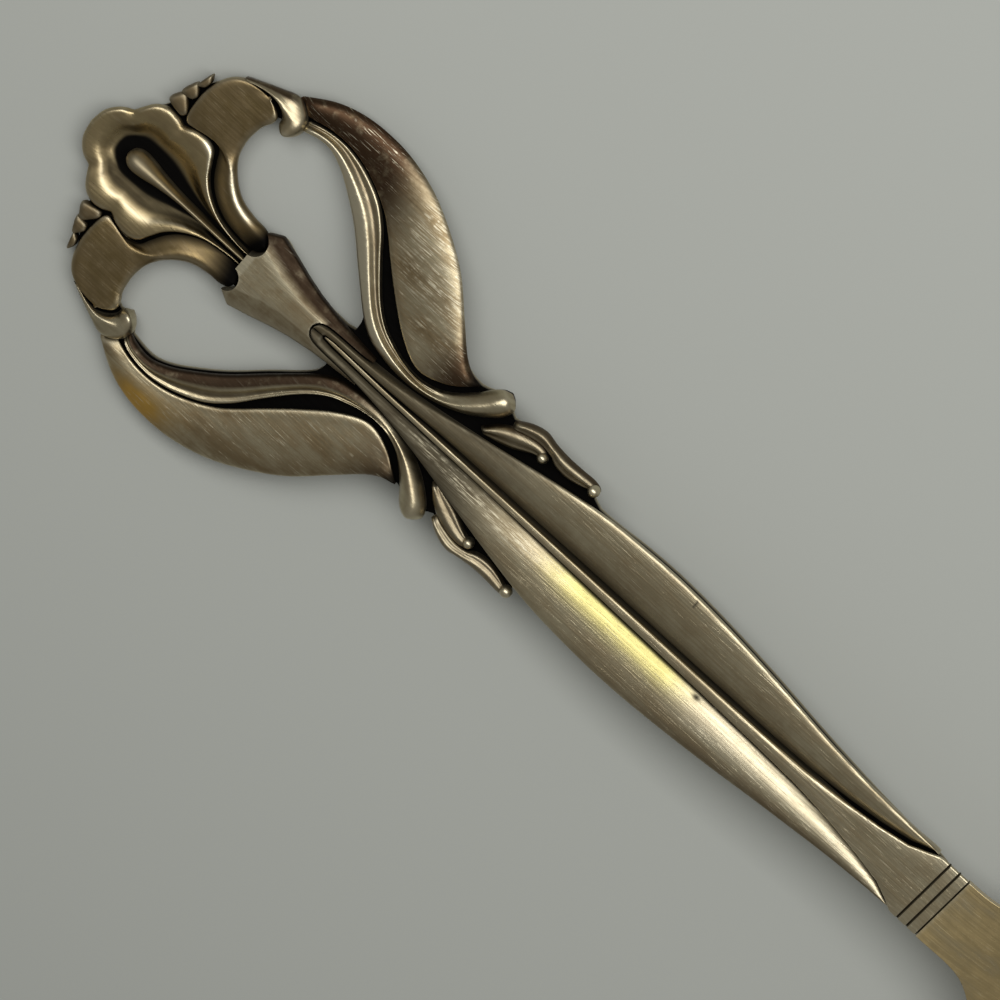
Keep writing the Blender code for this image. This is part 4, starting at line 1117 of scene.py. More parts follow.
class FORK_OT_add_blossom(bpy.types.Operator):
    """Add the trumpet flower with its lobed rim and deep throat"""

    bl_idname = "fork.add_blossom"
    bl_label = "Blossom"

    def execute(self, context):
        shape = context.scene.fork_shape
        rim = joined_curves(BLOSSOM_RIM, BLOSSOM_STEPS)
        throat = joined_curves(BLOSSOM_THROAT, BLOSSOM_STEPS)
        steps = np.array(WALL_STEPS)[:, None]
        rings = []
        across = []
        for outer, inner in zip(rim, throat):
            width = np.linalg.norm(outer - inner)
            top = smooth_curve(np.array(BLOSSOM_SECTION) * (width, 1.0), shape.columns) / (width, 1.0)
            plan = inner + (outer - inner) * top[:, :1]
            gaps = [np.linalg.norm(outer - notch) / NOTCH_REACH for notch in BLOSSOM_NOTCHES]
            crease = BLOSSOM_CREASE * sum(math.exp(-(gap**2)) for gap in gaps)
            height = top[:, 1] - crease * np.clip(top[:, 0], 0.0, 1.0) ** CREASE_GROWTH
            crown = np.column_stack([plan, height])
            foot = np.array([*inward(outer, inner, UNDERCUT), PLATE])
            wall = foot + (crown[0] - foot) * steps
            low = BLOSSOM_FLOOR + TRUMPET_FILL * ease_between(inner[0], TRUMPET_FILL_RANGE)
            floor = [(inner[0], inner[1] * share, low) for share in THROAT_FLOOR]
            left = np.concatenate([wall, crown, floor])
            left[:, 1] = np.maximum(left[:, 1], HALVES_APART)
            ring = softened(np.concatenate([left, (left * (1, -1, 1))[::-1]]), shape.rounding)
            ring[:, 2] += handle_back(ring[:, 0])
            rings.append(ring)
            across.append(top[:, 0])
        marks = self.petal_marks(rim, np.array(across))
        loft("blossom_petals", np.array(rings), silver("petal_silver"), ["blossom"], marks)
        return {"FINISHED"}

    def petal_marks(self, rim, across):
        """Tarnish, painted shade and painted highlights of both halves, with a black foot and a black floor
        in the throat.
        """
        along = np.repeat(rim[:, :1], across.shape[1], axis=1)
        left, right = (tarnish_and_light_marks(PETAL_TARNISH_AND_LIGHT, along, across, side) for side in (1, -1))
        foot = np.tile(1 - np.array(WALL_STEPS), (len(rim), 1))
        floor = np.ones((len(rim), len(THROAT_FLOOR)))
        marks = {}
        for key, black in (("oxide", 1), ("shine", 0)):
            half = np.hstack([foot * black, left[key], floor * black])
            other = np.hstack([foot * black, right[key], floor * black])
            marks[key] = np.hstack([half, other[:, ::-1]])
        return marks


class FORK_OT_add_spadix(bpy.types.Operator):
    """Add the teardrop that stands in the flower's throat"""

    bl_idname = "fork.add_spadix"
    bl_label = "Spadix"

    def execute(self, context):
        edge = smooth_curve(SPADIX_EDGE, SPADIX_ROWS)
        turns = np.linspace(-SPADIX_WRAP, math.pi + SPADIX_WRAP, SPADIX_TURNS)
        rings = []
        for row, (x, half) in enumerate(edge):
            tip = nose(row / SPADIX_ROWS, SPADIX_TIP, 0.0)
            tall = SPADIX_RISE + SPADIX_SWELL * half
            tall *= SPADIX_TIP_HEIGHT + (1 - SPADIX_TIP_HEIGHT) * tip
            up = np.where(np.sin(turns) < 0, SPADIX_FOOT, SPADIX_SPRING + tall * np.sin(turns))
            along = np.full(SPADIX_TURNS, x)
            rings.append(np.column_stack([along, np.cos(turns) * half, up + handle_back(x)]))
        rings = np.array(rings)
        marks = {"oxide": np.full(rings.shape[:2], SPADIX_BLACK)}
        loft("spadix_drop", rings, silver("petal_silver"), ["spadix"], marks)
        return {"FINISHED"}


class FORK_OT_add_sepals(bpy.types.Operator):
    """Add the two crescents beside the flower"""

    bl_idname = "fork.add_sepals"
    bl_label = "Sepals"

    def execute(self, context):
        edges = (SEPAL_OUTER, SEPAL_INNER)
        add_relief("sepal", edges, sepal_section, SEPAL_TARNISH_AND_LIGHT, silver("sepal_silver"))
        return {"FINISHED"}


class FORK_OT_add_hooks(bpy.types.Operator):
    """Add the two hooks that wrap the sepal tips"""

    bl_idname = "fork.add_hooks"
    bl_label = "Hooks"

    def execute(self, context):
        edges = (HOOK_OUTER, HOOK_INNER)
        metal = silver("stem_silver")
        add_relief("hook", edges, hook_section, HOOK_TARNISH, metal, roundness=BLUNT_END)
        return {"FINISHED"}


def bud_tree():
    """Node tree that strings shrinking buds along a curve."""
    tree = bpy.data.node_groups.new("bud_string", "GeometryNodeTree")
    tree.interface.new_socket("Path", in_out="INPUT", socket_type="NodeSocketGeometry")
    for name, kind in (
        ("Buds", "NodeSocketInt"), ("Length", "NodeSocketFloat"), ("Width", "NodeSocketFloat"),
        ("Height", "NodeSocketFloat"), ("Tip Share", "NodeSocketFloat"), ("Slant", "NodeSocketFloat"),
        ("Crease", "NodeSocketFloat"), ("Taper", "NodeSocketFloat"), ("Inner Side", "NodeSocketFloat"),
        ("Silver", "NodeSocketMaterial"),
    ):
        tree.interface.new_socket(name, in_out="INPUT", socket_type=kind)
    tree.interface.new_socket("Sprig", in_out="OUTPUT", socket_type="NodeSocketGeometry")
    given = tree.nodes.new("NodeGroupInput").outputs
    string = add_node(
        tree, "GeometryNodeResampleCurve", {"Curve": given["Path"], "Count": given["Buds"]}, mode="COUNT",
    )
    block = add_node(tree, "GeometryNodeMeshCube")
    links = {"Mesh": block.outputs[0], "Level": BUD_SMOOTHING, "Edge Crease": given["Crease"]}
    block = add_node(tree, "GeometryNodeSubdivisionSurface", links)
    place = add_node(tree, "GeometryNodeInputPosition")
    axes = add_node(tree, "ShaderNodeSeparateXYZ", {0: place.outputs[0]})
    links = {0: axes.outputs["Y"], 1: given["Inner Side"], 2: 0.5}
    inner = add_node(tree, "ShaderNodeMath", links, operation="MULTIPLY_ADD")
    links = {0: inner.outputs[0], 1: given["Taper"]}
    loss = add_node(tree, "ShaderNodeMath", links, operation="MULTIPLY")
    left = add_node(tree, "ShaderNodeMath", {0: 1.0, 1: loss.outputs[0]}, operation="SUBTRACT")
    long = add_node(tree, "ShaderNodeMath", {0: axes.outputs["X"], 1: left.outputs[0]}, operation="MULTIPLY")
    links = {"X": long.outputs[0], "Y": axes.outputs["Y"], "Z": axes.outputs["Z"]}
    wedge = add_node(tree, "ShaderNodeCombineXYZ", links)
    links = {"Geometry": block.outputs[0], "Position": wedge.outputs[0]}
    bud = add_node(tree, "GeometryNodeSetPosition", links)
    along = add_node(tree, "GeometryNodeInputTangent")
    aligned = add_node(tree, "FunctionNodeAlignRotationToVector", {"Vector": along.outputs[0]}, axis="X")
    share = add_node(tree, "GeometryNodeSplineParameter")
    links = {"Value": share.outputs["Factor"], "To Min": given["Slant"], "To Max": 0.0}
    slant = add_node(tree, "ShaderNodeMapRange", links)
    lean = add_node(tree, "ShaderNodeCombineXYZ", {"Z": slant.outputs[0]})
    leaning = add_node(tree, "FunctionNodeEulerToRotation", {"Euler": lean.outputs[0]})
    links = {"Rotation": aligned.outputs[0], "Rotate By": leaning.outputs[0]}
    turn = add_node(tree, "FunctionNodeRotateRotation", links, rotation_space="LOCAL")
    links = {0: share.outputs["Factor"], 1: BUD_SHRINKING}
    early = add_node(tree, "ShaderNodeMath", links, operation="POWER")
    links = {"Value": early.outputs[0], "To Min": 1.0, "To Max": given["Tip Share"]}
    shrink = add_node(tree, "ShaderNodeMapRange", links)
    wide = add_node(tree, "ShaderNodeMath", {0: given["Width"], 1: shrink.outputs[0]}, operation="MULTIPLY")
    size = add_node(
        tree, "ShaderNodeCombineXYZ", {"X": given["Length"], "Y": wide.outputs[0], "Z": given["Height"]},
    )
    links = {
        "Points": string.outputs[0], "Instance": bud.outputs[0], "Rotation": turn.outputs[0],
        "Scale": size.outputs[0],
    }
    buds = add_node(tree, "GeometryNodeInstanceOnPoints", links)
    real = add_node(tree, "GeometryNodeRealizeInstances", {"Geometry": buds.outputs[0]})
    painted = add_node(
        tree, "GeometryNodeSetMaterial", {"Geometry": real.outputs[0], "Material": given["Silver"]},
    )
    add_node(tree, "NodeGroupOutput", {"Sprig": painted.outputs[0]})
    return tree


class FORK_OT_add_bud_sprigs(bpy.types.Operator):
    """Add the two sprigs of buds between flower and sepals"""

    bl_idname = "fork.add_bud_sprigs"
    bl_label = "Bud Sprigs"

    def execute(self, context):
        shape = context.scene.fork_shape
        tree = bud_tree()
        sockets = {item.name: item.identifier for item in tree.interface.items_tree}
        for hand, side in (("left", 1), ("right", -1)):
            path = bpy.data.curves.new("bud_path", "CURVE")
            path.dimensions = "3D"
            spline = path.splines.new("POLY")
            line = smooth_curve(BUD_PATH, BUD_STEPS)
            spline.points.add(len(line) - 1)
            for point, (x, y) in zip(spline.points, line):
                height = handle_back(x) + PLATE + BUD_RISE
                point.co = ((x - MIDDLE) * MM, y * side * MM, height * MM, 1.0)
            holder = bpy.data.objects.new("bud_path", path)
            context.scene.collection.objects.link(holder)
            modifier = holder.modifiers.new("buds", "NODES")
            modifier.node_group = tree
            for key, value in (
                ("Buds", shape.bud_count), ("Length", shape.bud_length), ("Width", shape.bud_size),
                ("Height", 2 * BUD_HEIGHT * MM), ("Tip Share", BUD_TIP_SHARE), ("Slant", BUD_SLANT * side),
                ("Crease", BUD_CREASE), ("Taper", BUD_TAPER), ("Inner Side", -float(side)),
                ("Silver", silver("bud_silver")),
            ):
                modifier[sockets[key]] = value
            mesh = made_mesh(holder)
            bpy.data.objects.remove(holder, do_unlink=True)
            if not mesh.polygons:
                raise RuntimeError("the bud sprig has no faces")
            name = "bud_sprig_" + hand
            add_mark(mesh, "oxide", np.full(len(mesh.vertices), BUD_BLACK))
            dress(name + "_beads", mesh, silver("bud_silver"), [name])
        return {"FINISHED"}


class FORK_OT_add_leaves(bpy.types.Operator):
    """Add the two wide outer leaves"""

    bl_idname = "fork.add_leaves"
    bl_label = "Leaves"

    def execute(self, context):
        edges = (LEAF_OUTER, LEAF_INNER)
        metal = silver("leaf_silver")
        add_relief("leaf", edges, leaf_section, LEAF_TARNISH, metal, undercut=DEEP_UNDERCUT)
        return {"FINISHED"}


class FORK_OT_add_stems(bpy.types.Operator):
    """Add the two ridged stems that edge the loops"""

    bl_idname = "fork.add_stems"
    bl_label = "Stems"

    def execute(self, context):
        edges = (STEM_HOLE_EDGE, STEM_GROOVE_EDGE)
        metal = silver("stem_silver")
        add_relief("stem", edges, stem_section, STEM_TARNISH_AND_LIGHT, metal, roundness=BLUNT_END)
        return {"FINISHED"}


class FORK_OT_add_scrolls(bpy.types.Operator):
    """Add the four small scrolls beside the shaft"""

    bl_idname = "fork.add_scrolls"
    bl_label = "Scrolls"

    def execute(self, context):
        metal = silver("stem_silver")
        for name, edges, end in (
            ("scroll_inner", (SCROLL_INNER_TOP, SCROLL_INNER_FOOT), SCROLL_INNER_END),
            ("scroll_outer", (SCROLL_OUTER_TOP, SCROLL_OUTER_FOOT), SCROLL_OUTER_END),
        ):
            add_relief(
                name, edges, scroll_section, SCROLL_TARNISH, metal,
                roundness=BLUNT_END, end=end,
            )
        return {"FINISHED"}


def prism(name, outline):
    """Upright prism that only cuts and is removed afterwards."""
    count = len(outline)
    points = [((x - MIDDLE) * MM, y * MM, z * MM) for z in (0.0, CUTTER_HEIGHT) for x, y in outline]
    faces = [(i, (i + 1) % count, (i + 1) % count + count, i + count) for i in range(count)]
    faces += [list(range(count))[::-1], list(range(count, 2 * count))]
    mesh = bpy.data.meshes.new(name)
    mesh.from_pydata(points, [], faces)
    face_outward(mesh)
    cutter = bpy.data.objects.new(name, mesh)
    bpy.context.scene.collection.objects.link(cutter)
    return cutter


class FORK_OT_add_calyx(bpy.types.Operator):
    """Add the low roof-shaped sheath between flower and shaft"""

    bl_idname = "fork.add_calyx"
    bl_label = "Calyx"

    def execute(self, context):
        stations = np.array(CALYX_STATIONS)
        rings = []
        for x in np.linspace(stations[0, 0], stations[-1, 0], CALYX_ROWS):
            half, facet = (np.interp(x, stations[:, 0], stations[:, column]) for column in (1, 2))
            section = [(half - inset, z) for inset, z in CALYX_WALL]
            section += [((half + facet) / 2, CALYX_SLOPE)]
            section += [(facet + out, z) for out, z in CALYX_FACET]
            section += [(facet / 2, CALYX_TOP)]
            left = np.array([(x, y, handle_back(x) + z) for y, z in section])
            rings.append(np.concatenate([left, (left * (1, -1, 1))[::-1]]))
        piece = loft("calyx_sheath", np.array(rings), silver("calyx_silver"), ["calyx"])
        turns = np.linspace(0, 2 * math.pi, SEPAL_FOOT_TURNS, endpoint=False)
        circle = SEPAL_FOOT_RADIUS * np.column_stack([np.cos(turns), np.sin(turns)])
        outlines = [circle + np.array(SEPAL_FOOT) * (1, side) for side in (1, -1)]
        slot = smooth_curve(TONGUE_SLOT, SLOT_STEPS)
        outlines.append(np.concatenate([slot, (slot * (1, -1))[::-1]]))
        cutters = [prism("calyx_cutter", outline) for outline in outlines]
        for cutter in cutters:
            modifier = piece.modifiers.new(cutter.name, "BOOLEAN")
            modifier.operation = "DIFFERENCE"
            modifier.solver = "EXACT"
            modifier.object = cutter
        mesh = made_mesh(piece)
        piece.modifiers.clear()
        piece.data = mesh
        for cutter in cutters:
            bpy.data.objects.remove(cutter, do_unlink=True)
        points = mesh_arrays(piece)[0] / MM
        height = points[:, 2] - handle_back(points[:, 0] + MIDDLE)
        # Painted shade on the bevels below the top facet, strong on the left (+Y) side
        bevel = fade(height, *CALYX_BEVEL)
        for key, (left, right) in (("russet", CALYX_SHADE_RED), ("oxide", CALYX_SHADE_BLACK)):
            add_mark(mesh, key, bevel * np.where(points[:, 1] > 0, left, right))
        return {"FINISHED"}


class FORK_OT_add_shaft_lobes(bpy.types.Operator):
    """Add the two long lobes of the shaft"""

    bl_idname = "fork.add_shaft_lobes"
    bl_label = "Shaft Lobes"

    def execute(self, context):
        shape = context.scene.fork_shape
        rows = edge_rows(LOBE_OUTER, shape)
        outer = smooth_curve(LOBE_OUTER, rows)
        spine = np.array(SPINE_EDGE)
        seam = np.interp(outer[:, 0], spine[:, 0], spine[:, 1]) + LOBE_SEAM
        seam = np.where(outer[:, 0] > SPINE_TIP - SEAM, seam, LOBE_APART)
        inner = np.column_stack([outer[:, 0], np.minimum(seam, outer[:, 1] - LOBE_LEAST)])
        share = np.linspace(0.0, 1.0, len(outer))
        for hand, side in (("left", 1), ("right", -1)):
            rings, across = relief_points(outer, inner, share, lobe_section, side, DEEP_UNDERCUT)
            along = np.repeat(share[:, None], rings.shape[1], axis=1)
            marks = tarnish_and_light_marks(LOBE_TARNISH_AND_LIGHT, along, across, side)
            name = "shaft_lobe_" + hand
            loft(name + "_pillow", rings, silver("shaft_silver"), [name], marks)
        return {"FINISHED"}


def slanted(points, shape, limits):
    """Neck points leaned along the fork, more toward the engraved lines."""
    lean = ease_between(points[..., 0], limits)
    points[..., 0] += shape.line_slant * points[..., 1] * lean
    return points


class FORK_OT_add_spine(bpy.types.Operator):
    """Add the rib that flares into the flat neck with its engraved lines"""

    bl_idname = "fork.add_spine"
    bl_label = "Spine"

    def execute(self, context):
        shape = context.scene.fork_shape
        width, depth = shape.line_width / MM, shape.line_depth / MM
        places = set(np.round(np.arange(SPINE_TIP, NECK_END, SPINE_STEP), 3)) | {NECK_END}
        places = {x for x in places if all(abs(x - line) > width for line in LINE_PLACES)}
        for line in LINE_PLACES:
            places |= {line + width * share for share in LINE_PROFILE}
        places = {x for x in places if x <= NECK_END}
        rings = []
        black = []
        spine = np.array(SPINE_EDGE)
        for x in sorted(places):
            half = np.interp(x, spine[:, 0], spine[:, 1])
            flare = ease_between(x, SPINE_FLARE)
            cut = LINE_WALL * max(max(1 - abs(x - line) / (width / 2) for line in LINE_PLACES), 0.0)
            top = SPINE_TIP_TOP + (SPINE_TOP - SPINE_TIP_TOP) * ease((x - SPINE_TIP) / SPINE_SETTLE)
            top += (NECK_TOP - SPINE_TOP) * flare - depth * min(cut, 1.0)
            bevel = min(NECK_BEVEL[0] * half, NECK_BEVEL[1])
            flat = [(bevel * share - half, top - drop) for share, drop in NECK_EDGE]
            flat += [(-half * share, top) for share in NECK_FLAT]
            rib = [(-half * share, top - RIB_ROUND * half * share**RIB_POWER) for share in RIB_SHARES]
            rib[0] = (-half, rib[0][1] - RIB_FOOT)
            crown = blend(rib, flat, flare)
            low = crown[0][1]
            foot = half - DEEP_UNDERCUT * flare
            wall = [(-foot, PLATE), (-(foot + half) / 2, (PLATE + low) / 2), (-half, low - RIB_WALL)]
            right = [*wall, *crown]
            section = right + [(0.0, top)] + [(-y, z) for y, z in reversed(right)]
            rings.append([(x, y, handle_back(x) + z) for y, z in section])
            dark = max(cut, SPINE_BLACK * fade(x, *SPINE_BLACK_RANGE))
            black.append([dark if z > SPINE_WALL else 0.0 for y, z in section])
        rings = slanted(np.array(rings), shape, NECK_SLANT)
        marks = {"oxide": np.clip(black, 0.0, 1.0)}
        loft("spine_rib", rings, silver("shaft_silver"), ["spine"], marks)
        return {"FINISHED"}


def head_plan():
    """Plan points and faces of the head: a grid over the shoulders, then a strip for each tine."""
    gap = (2 * HEAD_HALF_WIDTH - TINES * TINE_WIDTH) / (TINES - 1)
    columns = []
    left = -HEAD_HALF_WIDTH
    for tine in range(TINES):
        for step in range(TINE_COLUMNS + 1):
            columns.append((left + TINE_WIDTH * step / TINE_COLUMNS, 0.0, tine))
        left += TINE_WIDTH
        if tine < TINES - 1:
            for turn in np.linspace(0, math.pi, CROTCH_TURNS + 2)[1:-1]:
                columns.append((left + gap / 2 * (1 - math.cos(turn)), gap / 2 * math.sin(turn), None))
            left += gap
    width = len(columns)
    edge = smooth_curve(HEAD_EDGE, HEAD_STEPS)
    plan = []
    for row in range(HEAD_ROWS + 1):
        share = (row / HEAD_ROWS) ** HEAD_ROW_GROWTH
        for across, depth, _ in columns:
            x = HEAD_START + (TINE_ROOT - depth - HEAD_START) * share
            plan.append((x, np.interp(x, edge[:, 0], edge[:, 1]) * across / HEAD_HALF_WIDTH))
    faces = []
    for row in range(HEAD_ROWS):
        for column in range(width - 1):
            corner = row * width + column
            faces.append((corner, corner + width, corner + width + 1, corner + 1))
    for tine in range(TINES):
        members = [index for index, column in enumerate(columns) if column[2] == tine]
        centre = sum(columns[index][0] for index in members) / len(members)
        before = [HEAD_ROWS * width + index for index in members]
        for share in np.linspace(0, 1, TINE_ROWS + 1)[1:]:
            point = max(share - TINE_POINT[0], 0.0) / (1 - TINE_POINT[0])
            half = TINE_WIDTH / 2 * (1 - TINE_TAPER * share) * (1 - TINE_POINT[1] * point**2)
            x = TINE_ROOT + (TINE_TIP - TINE_ROOT) * share
            middle = centre * (1 - TINE_CLOSING * share)
            now = list(range(len(plan), len(plan) + len(members)))
            for step in range(TINE_COLUMNS + 1):
                plan.append((x, middle + half * (2 * step / TINE_COLUMNS - 1)))
            for index in range(TINE_COLUMNS):
                faces.append((before[index], now[index], now[index + 1], before[index + 1]))
            before = now
    return np.array(plan), faces


class FORK_OT_add_fork_head(bpy.types.Operator):
    """Add the shouldered head with its bowl and tines"""

    bl_idname = "fork.add_fork_head"
    bl_label = "Fork Head"

    def execute(self, context):
        shape = context.scene.fork_shape
        plan, faces = head_plan()
        count = len(plan)
        x, y = plan[:, 0], plan[:, 1]
        edge = np.array(HEAD_EDGE)
        drawn = 1 - DEEP_UNDERCUT * fade(x, *HEAD_DRAW) / np.interp(x, edge[:, 0], edge[:, 1])
        low = np.column_stack([x, y * drawn, np.maximum(head_height(x, y), 0.0)])
        high = np.column_stack([plan, head_top(x, y)])
        points = slanted(np.concatenate([low, high]), shape, HEAD_SLANT)
        solid = [tuple(reversed(face)) for face in faces]
        solid += [tuple(index + count for index in face) for face in faces]
        sides = [(face[i], face[(i + 1) % 4]) for face in faces for i in range(4)]
        known = set(sides)
        solid += [(a, b, b + count, a + count) for a, b in sides if (b, a) not in known]
        piece = finish_piece(
            "fork_head_bowl", points, solid, silver("head_silver"), ["fork_head"],
            {"gold": fade(points[:, 0], *HEAD_AMBER)},
        )
        bevel = piece.modifiers.new("rounding", "BEVEL")
        bevel.width = HEAD_ROUNDING * MM
        bevel.segments = HEAD_ROUNDING_STEPS
        bevel.angle_limit = SHARP_ANGLE
        mesh = made_mesh(piece)
        piece.modifiers.clear()
        piece.data = mesh
        return {"FINISHED"}


def fork_pieces():
    """The dressed pieces of the fork."""
    return [item for item in bpy.context.scene.objects if item.type == "MESH" and "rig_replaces" in item]


def mesh_arrays(piece):
    """Points, normals and edges of a piece's mesh."""
    mesh = piece.data
    points = np.zeros(len(mesh.vertices) * 3)
    mesh.vertices.foreach_get("co", points)
    normals = np.zeros(len(mesh.vertices) * 3)
    mesh.vertex_normals.foreach_get("vector", normals)
    edges = np.zeros(len(mesh.edges) * 2, dtype=int)
    mesh.edges.foreach_get("vertices", edges)
    return points.reshape(-1, 3), normals.reshape(-1, 3), edges.reshape(-1, 2)


def known_mark(mesh, key):
    """Values of a mark on the mesh, or none."""
    known = np.zeros(len(mesh.vertices), dtype=np.float32)
    if key in mesh.attributes:
        mesh.attributes[key].data.foreach_get("value", known)
    return known


def add_mark(mesh, key, values):
    """Raise a mark on the mesh to the given values."""
    raised = np.maximum(known_mark(mesh, key), values).astype(np.float32)
    layer = mesh.attributes.get(key) or mesh.attributes.new(key, "FLOAT", "POINT")
    layer.data.foreach_set("value", raised)


def spread(values, edges, times):
    """Values evened out between neighbouring points."""
    count = np.maximum(np.bincount(edges.ravel(), minlength=len(values)), 1)
    for _ in range(times):
        total = np.zeros_like(values)
        np.add.at(total, edges[:, 0], values[edges[:, 1]])
        np.add.at(total, edges[:, 1], values[edges[:, 0]])
        shape = (-1,) + (1,) * (values.ndim - 1)
        values = (values + total / count.reshape(shape)) / 2
    return values


def sky_directions(count):
    """Directions spread evenly over the whole sphere."""
    index = np.arange(count) + 0.5
    turn = math.pi * (1 + 5**0.5) * index
    up = 1 - 2 * index / count
    flat = np.sqrt(1 - up**2)
    return np.column_stack([flat * np.cos(turn), flat * np.sin(turn), up])


class FORK_OT_settle_tarnish(bpy.types.Operator):
    """Settle black oxide in the hollows and rub the edges bright"""

    bl_idname = "fork.settle_tarnish"
    bl_label = "Settle Tarnish"

    def execute(self, context):
        pieces = fork_pieces()
        corners = []
        triangles = []
        for piece in pieces:
            mesh = piece.data
            mesh.calc_loop_triangles()
            base = len(corners)
            corners.extend(vertex.co / MM for vertex in mesh.vertices)
            triangles.extend([base + index for index in item.vertices] for item in mesh.loop_triangles)
        tree = BVHTree.FromPolygons(corners, triangles, all_triangles=True)
        directions = sky_directions(SKY_RAYS)
        rays = [Vector(direction) for direction in directions]
        for piece in pieces:
            points, normals, edges = mesh_arrays(piece)
            facing = normals @ directions.T
            hidden = np.zeros(len(points))
            for index in range(len(points)):
                start = Vector(points[index] / MM + normals[index] * RAY_LIFT)
                total = 0.0
                met = 0.0
                for place in np.nonzero(facing[index] > RAY_GRAZE)[0]:
                    weight = facing[index, place]
                    total += weight
                    distance = tree.ray_cast(start, rays[place], RAY_REACH)[3]
                    if distance is not None:
                        met += weight * (1 - distance / RAY_REACH)
                hidden[index] = met / total
            lengths = np.linalg.norm(points[edges[:, 0]] - points[edges[:, 1]], axis=1)
            fine = np.median(lengths) < FINE_MESH * MM
            hidden = spread(hidden, edges, FINE_EVENING if fine else COARSE_EVENING)
            flat = spread(points, edges, EDGE_EVENING)
            bulge = np.einsum("ij,ij->i", points - flat, normals)
            around = np.bincount(edges.ravel(), np.repeat(lengths, 2), len(points))
            spacing = around / np.maximum(np.bincount(edges.ravel(), minlength=len(points)), 1)
            oxide = fade(hidden, *HOLLOW_BLACK)
            kept = (1 - oxide) * (1 - known_mark(piece.data, "russet"))
            shine = np.clip(bulge / (EDGE_BULGE * spacing) - EDGE_START, 0.0, 1.0) * EDGE_SHINE * kept
            for key, values in (("oxide", oxide), ("shine", shine)):
                add_mark(piece.data, key, values)
        return {"FINISHED"}


class FORK_OT_set_stage(bpy.types.Operator):
    """Set the plain floor, the soft light and the camera"""

    bl_idname = "fork.set_stage"
    bl_label = "Stage"

    def execute(self, context):
        stage = context.scene.fork_stage
        scene = context.scene
        scene.view_settings.view_transform = "Standard"
        mesh = bpy.data.meshes.new("floor")
        signs = ((-1, -1), (1, -1), (1, 1), (-1, 1))
        corners = [(x * FLOOR_REACH, y * FLOOR_REACH, -FLOOR_DROP) for x, y in signs]
        mesh.from_pydata(corners, [], [(0, 1, 2, 3)])
        paint = bpy.data.materials.new("floor_grey")
        paint.use_nodes = True
        shader = paint.node_tree.nodes["Principled BSDF"]
        shader.inputs["Base Color"].default_value = (*stage.floor, 1.0)
        shader.inputs["Roughness"].default_value = FLOOR_ROUGHNESS
        mesh.materials.append(paint)
        floor = bpy.data.objects.new("floor", mesh)
        scene.collection.objects.link(floor)
        world = bpy.data.worlds.new("surroundings")
        world.use_nodes = True
        world.node_tree.nodes["Background"].inputs["Color"].default_value = (*stage.ambient, 1.0)
        scene.world = world
        target = (Vector(VIEW_CENTRE) - Vector((MIDDLE, 0.0, 0.0))) * MM
        self.add_lamp(stage.window, target)
        toward = Vector((0.0, math.sin(stage.tilt), math.cos(stage.tilt)))
        first = Vector((1.0, 0.0, 0.0))
        second = Vector((0.0, math.cos(stage.tilt), -math.sin(stage.tilt)))
        right = first * math.cos(stage.roll) + second * math.sin(stage.roll)
        up = second * math.cos(stage.roll) - first * math.sin(stage.roll)
        lens = bpy.data.cameras.new("camera")
        lens.sensor_width = SENSOR_WIDTH
        lens.lens = lens.sensor_width * stage.distance / stage.view_width
        lens.clip_start, lens.clip_end = CAMERA_RANGE
        camera = bpy.data.objects.new("camera", lens)
        turn = Matrix((right, up, toward)).transposed().to_4x4()
        camera.matrix_world = Matrix.Translation(target + toward * stage.distance) @ turn
        scene.collection.objects.link(camera)
        scene.camera = camera
        return {"FINISHED"}

    def add_lamp(self, power, target):
        """Large soft lamp that faces the handle."""
        light = bpy.data.lights.new("window", "AREA")
        light.shape = "RECTANGLE"
        light.size, light.size_y = LAMP_SIZE
        light.energy = power
        direction = Vector(LAMP_DIRECTION)
        lamp = bpy.data.objects.new("window", light)
        lamp.location = target + direction.normalized() * LAMP_DISTANCE
        lamp.rotation_euler = direction.to_track_quat("Z", "Y").to_euler()
        bpy.context.scene.collection.objects.link(lamp)


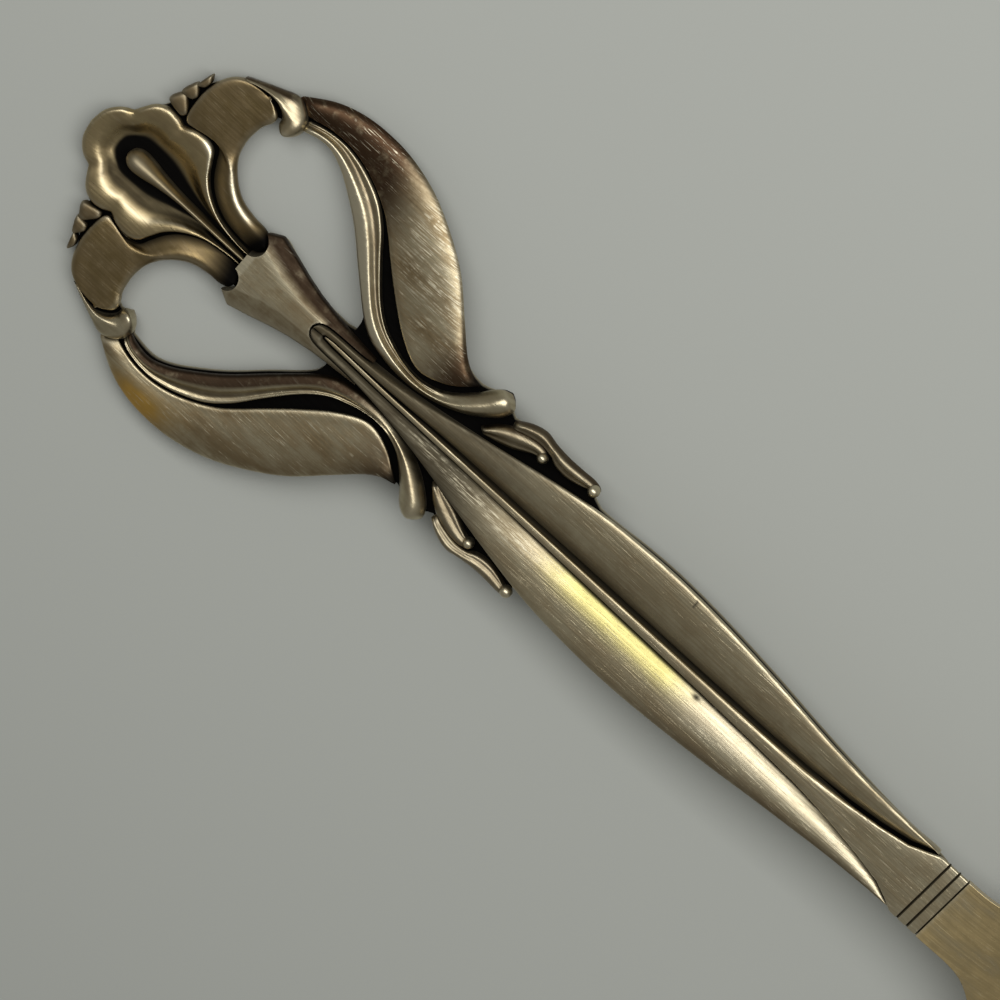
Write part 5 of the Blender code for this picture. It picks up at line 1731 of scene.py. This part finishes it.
PIECE_OPERATORS = (
    FORK_OT_add_back_plate,
    FORK_OT_add_blossom,
    FORK_OT_add_spadix,
    FORK_OT_add_sepals,
    FORK_OT_add_hooks,
    FORK_OT_add_bud_sprigs,
    FORK_OT_add_leaves,
    FORK_OT_add_stems,
    FORK_OT_add_scrolls,
    FORK_OT_add_calyx,
    FORK_OT_add_shaft_lobes,
    FORK_OT_add_spine,
    FORK_OT_add_fork_head,
    FORK_OT_settle_tarnish,
    FORK_OT_set_stage,
)


class FORK_PT_panel(bpy.types.Panel):
    """Buttons for the fork's pieces and its settings"""

    bl_label = "Blossom Fork"
    bl_idname = "FORK_PT_panel"
    bl_space_type = "VIEW_3D"
    bl_region_type = "UI"
    bl_category = "Fork"

    def draw(self, context):
        for operator in PIECE_OPERATORS:
            self.layout.operator(operator.bl_idname)
        for group in (context.scene.fork_shape, context.scene.fork_finish, context.scene.fork_stage):
            box = self.layout.box()
            for key in group.bl_rna.properties.keys():
                if key not in ("rna_type", "name"):
                    box.prop(group, key)


CLASSES = (ForkShape, ForkFinish, ForkStage, *PIECE_OPERATORS, FORK_PT_panel)


def register():
    """Make the fork's tools known."""
    for item in CLASSES:
        bpy.utils.register_class(item)
    bpy.types.Scene.fork_shape = bpy.props.PointerProperty(type=ForkShape)
    bpy.types.Scene.fork_finish = bpy.props.PointerProperty(type=ForkFinish)
    bpy.types.Scene.fork_stage = bpy.props.PointerProperty(type=ForkStage)


def unregister():
    """Take the fork's tools away again."""
    del bpy.types.Scene.fork_stage
    del bpy.types.Scene.fork_finish
    del bpy.types.Scene.fork_shape
    for item in reversed(CLASSES):
        bpy.utils.unregister_class(item)


def main():
    """Build the fork piece by piece, then settle its tarnish and set the stage."""
    register()
    bpy.ops.fork.add_back_plate()
    bpy.ops.fork.add_blossom()
    bpy.ops.fork.add_spadix()
    bpy.ops.fork.add_sepals()
    bpy.ops.fork.add_hooks()
    bpy.ops.fork.add_bud_sprigs()
    bpy.ops.fork.add_leaves()
    bpy.ops.fork.add_stems()
    bpy.ops.fork.add_scrolls()
    bpy.ops.fork.add_calyx()
    bpy.ops.fork.add_shaft_lobes()
    bpy.ops.fork.add_spine()
    bpy.ops.fork.add_fork_head()
    bpy.ops.fork.settle_tarnish()
    bpy.ops.fork.set_stage()


if __name__ == "__main__":
    main()
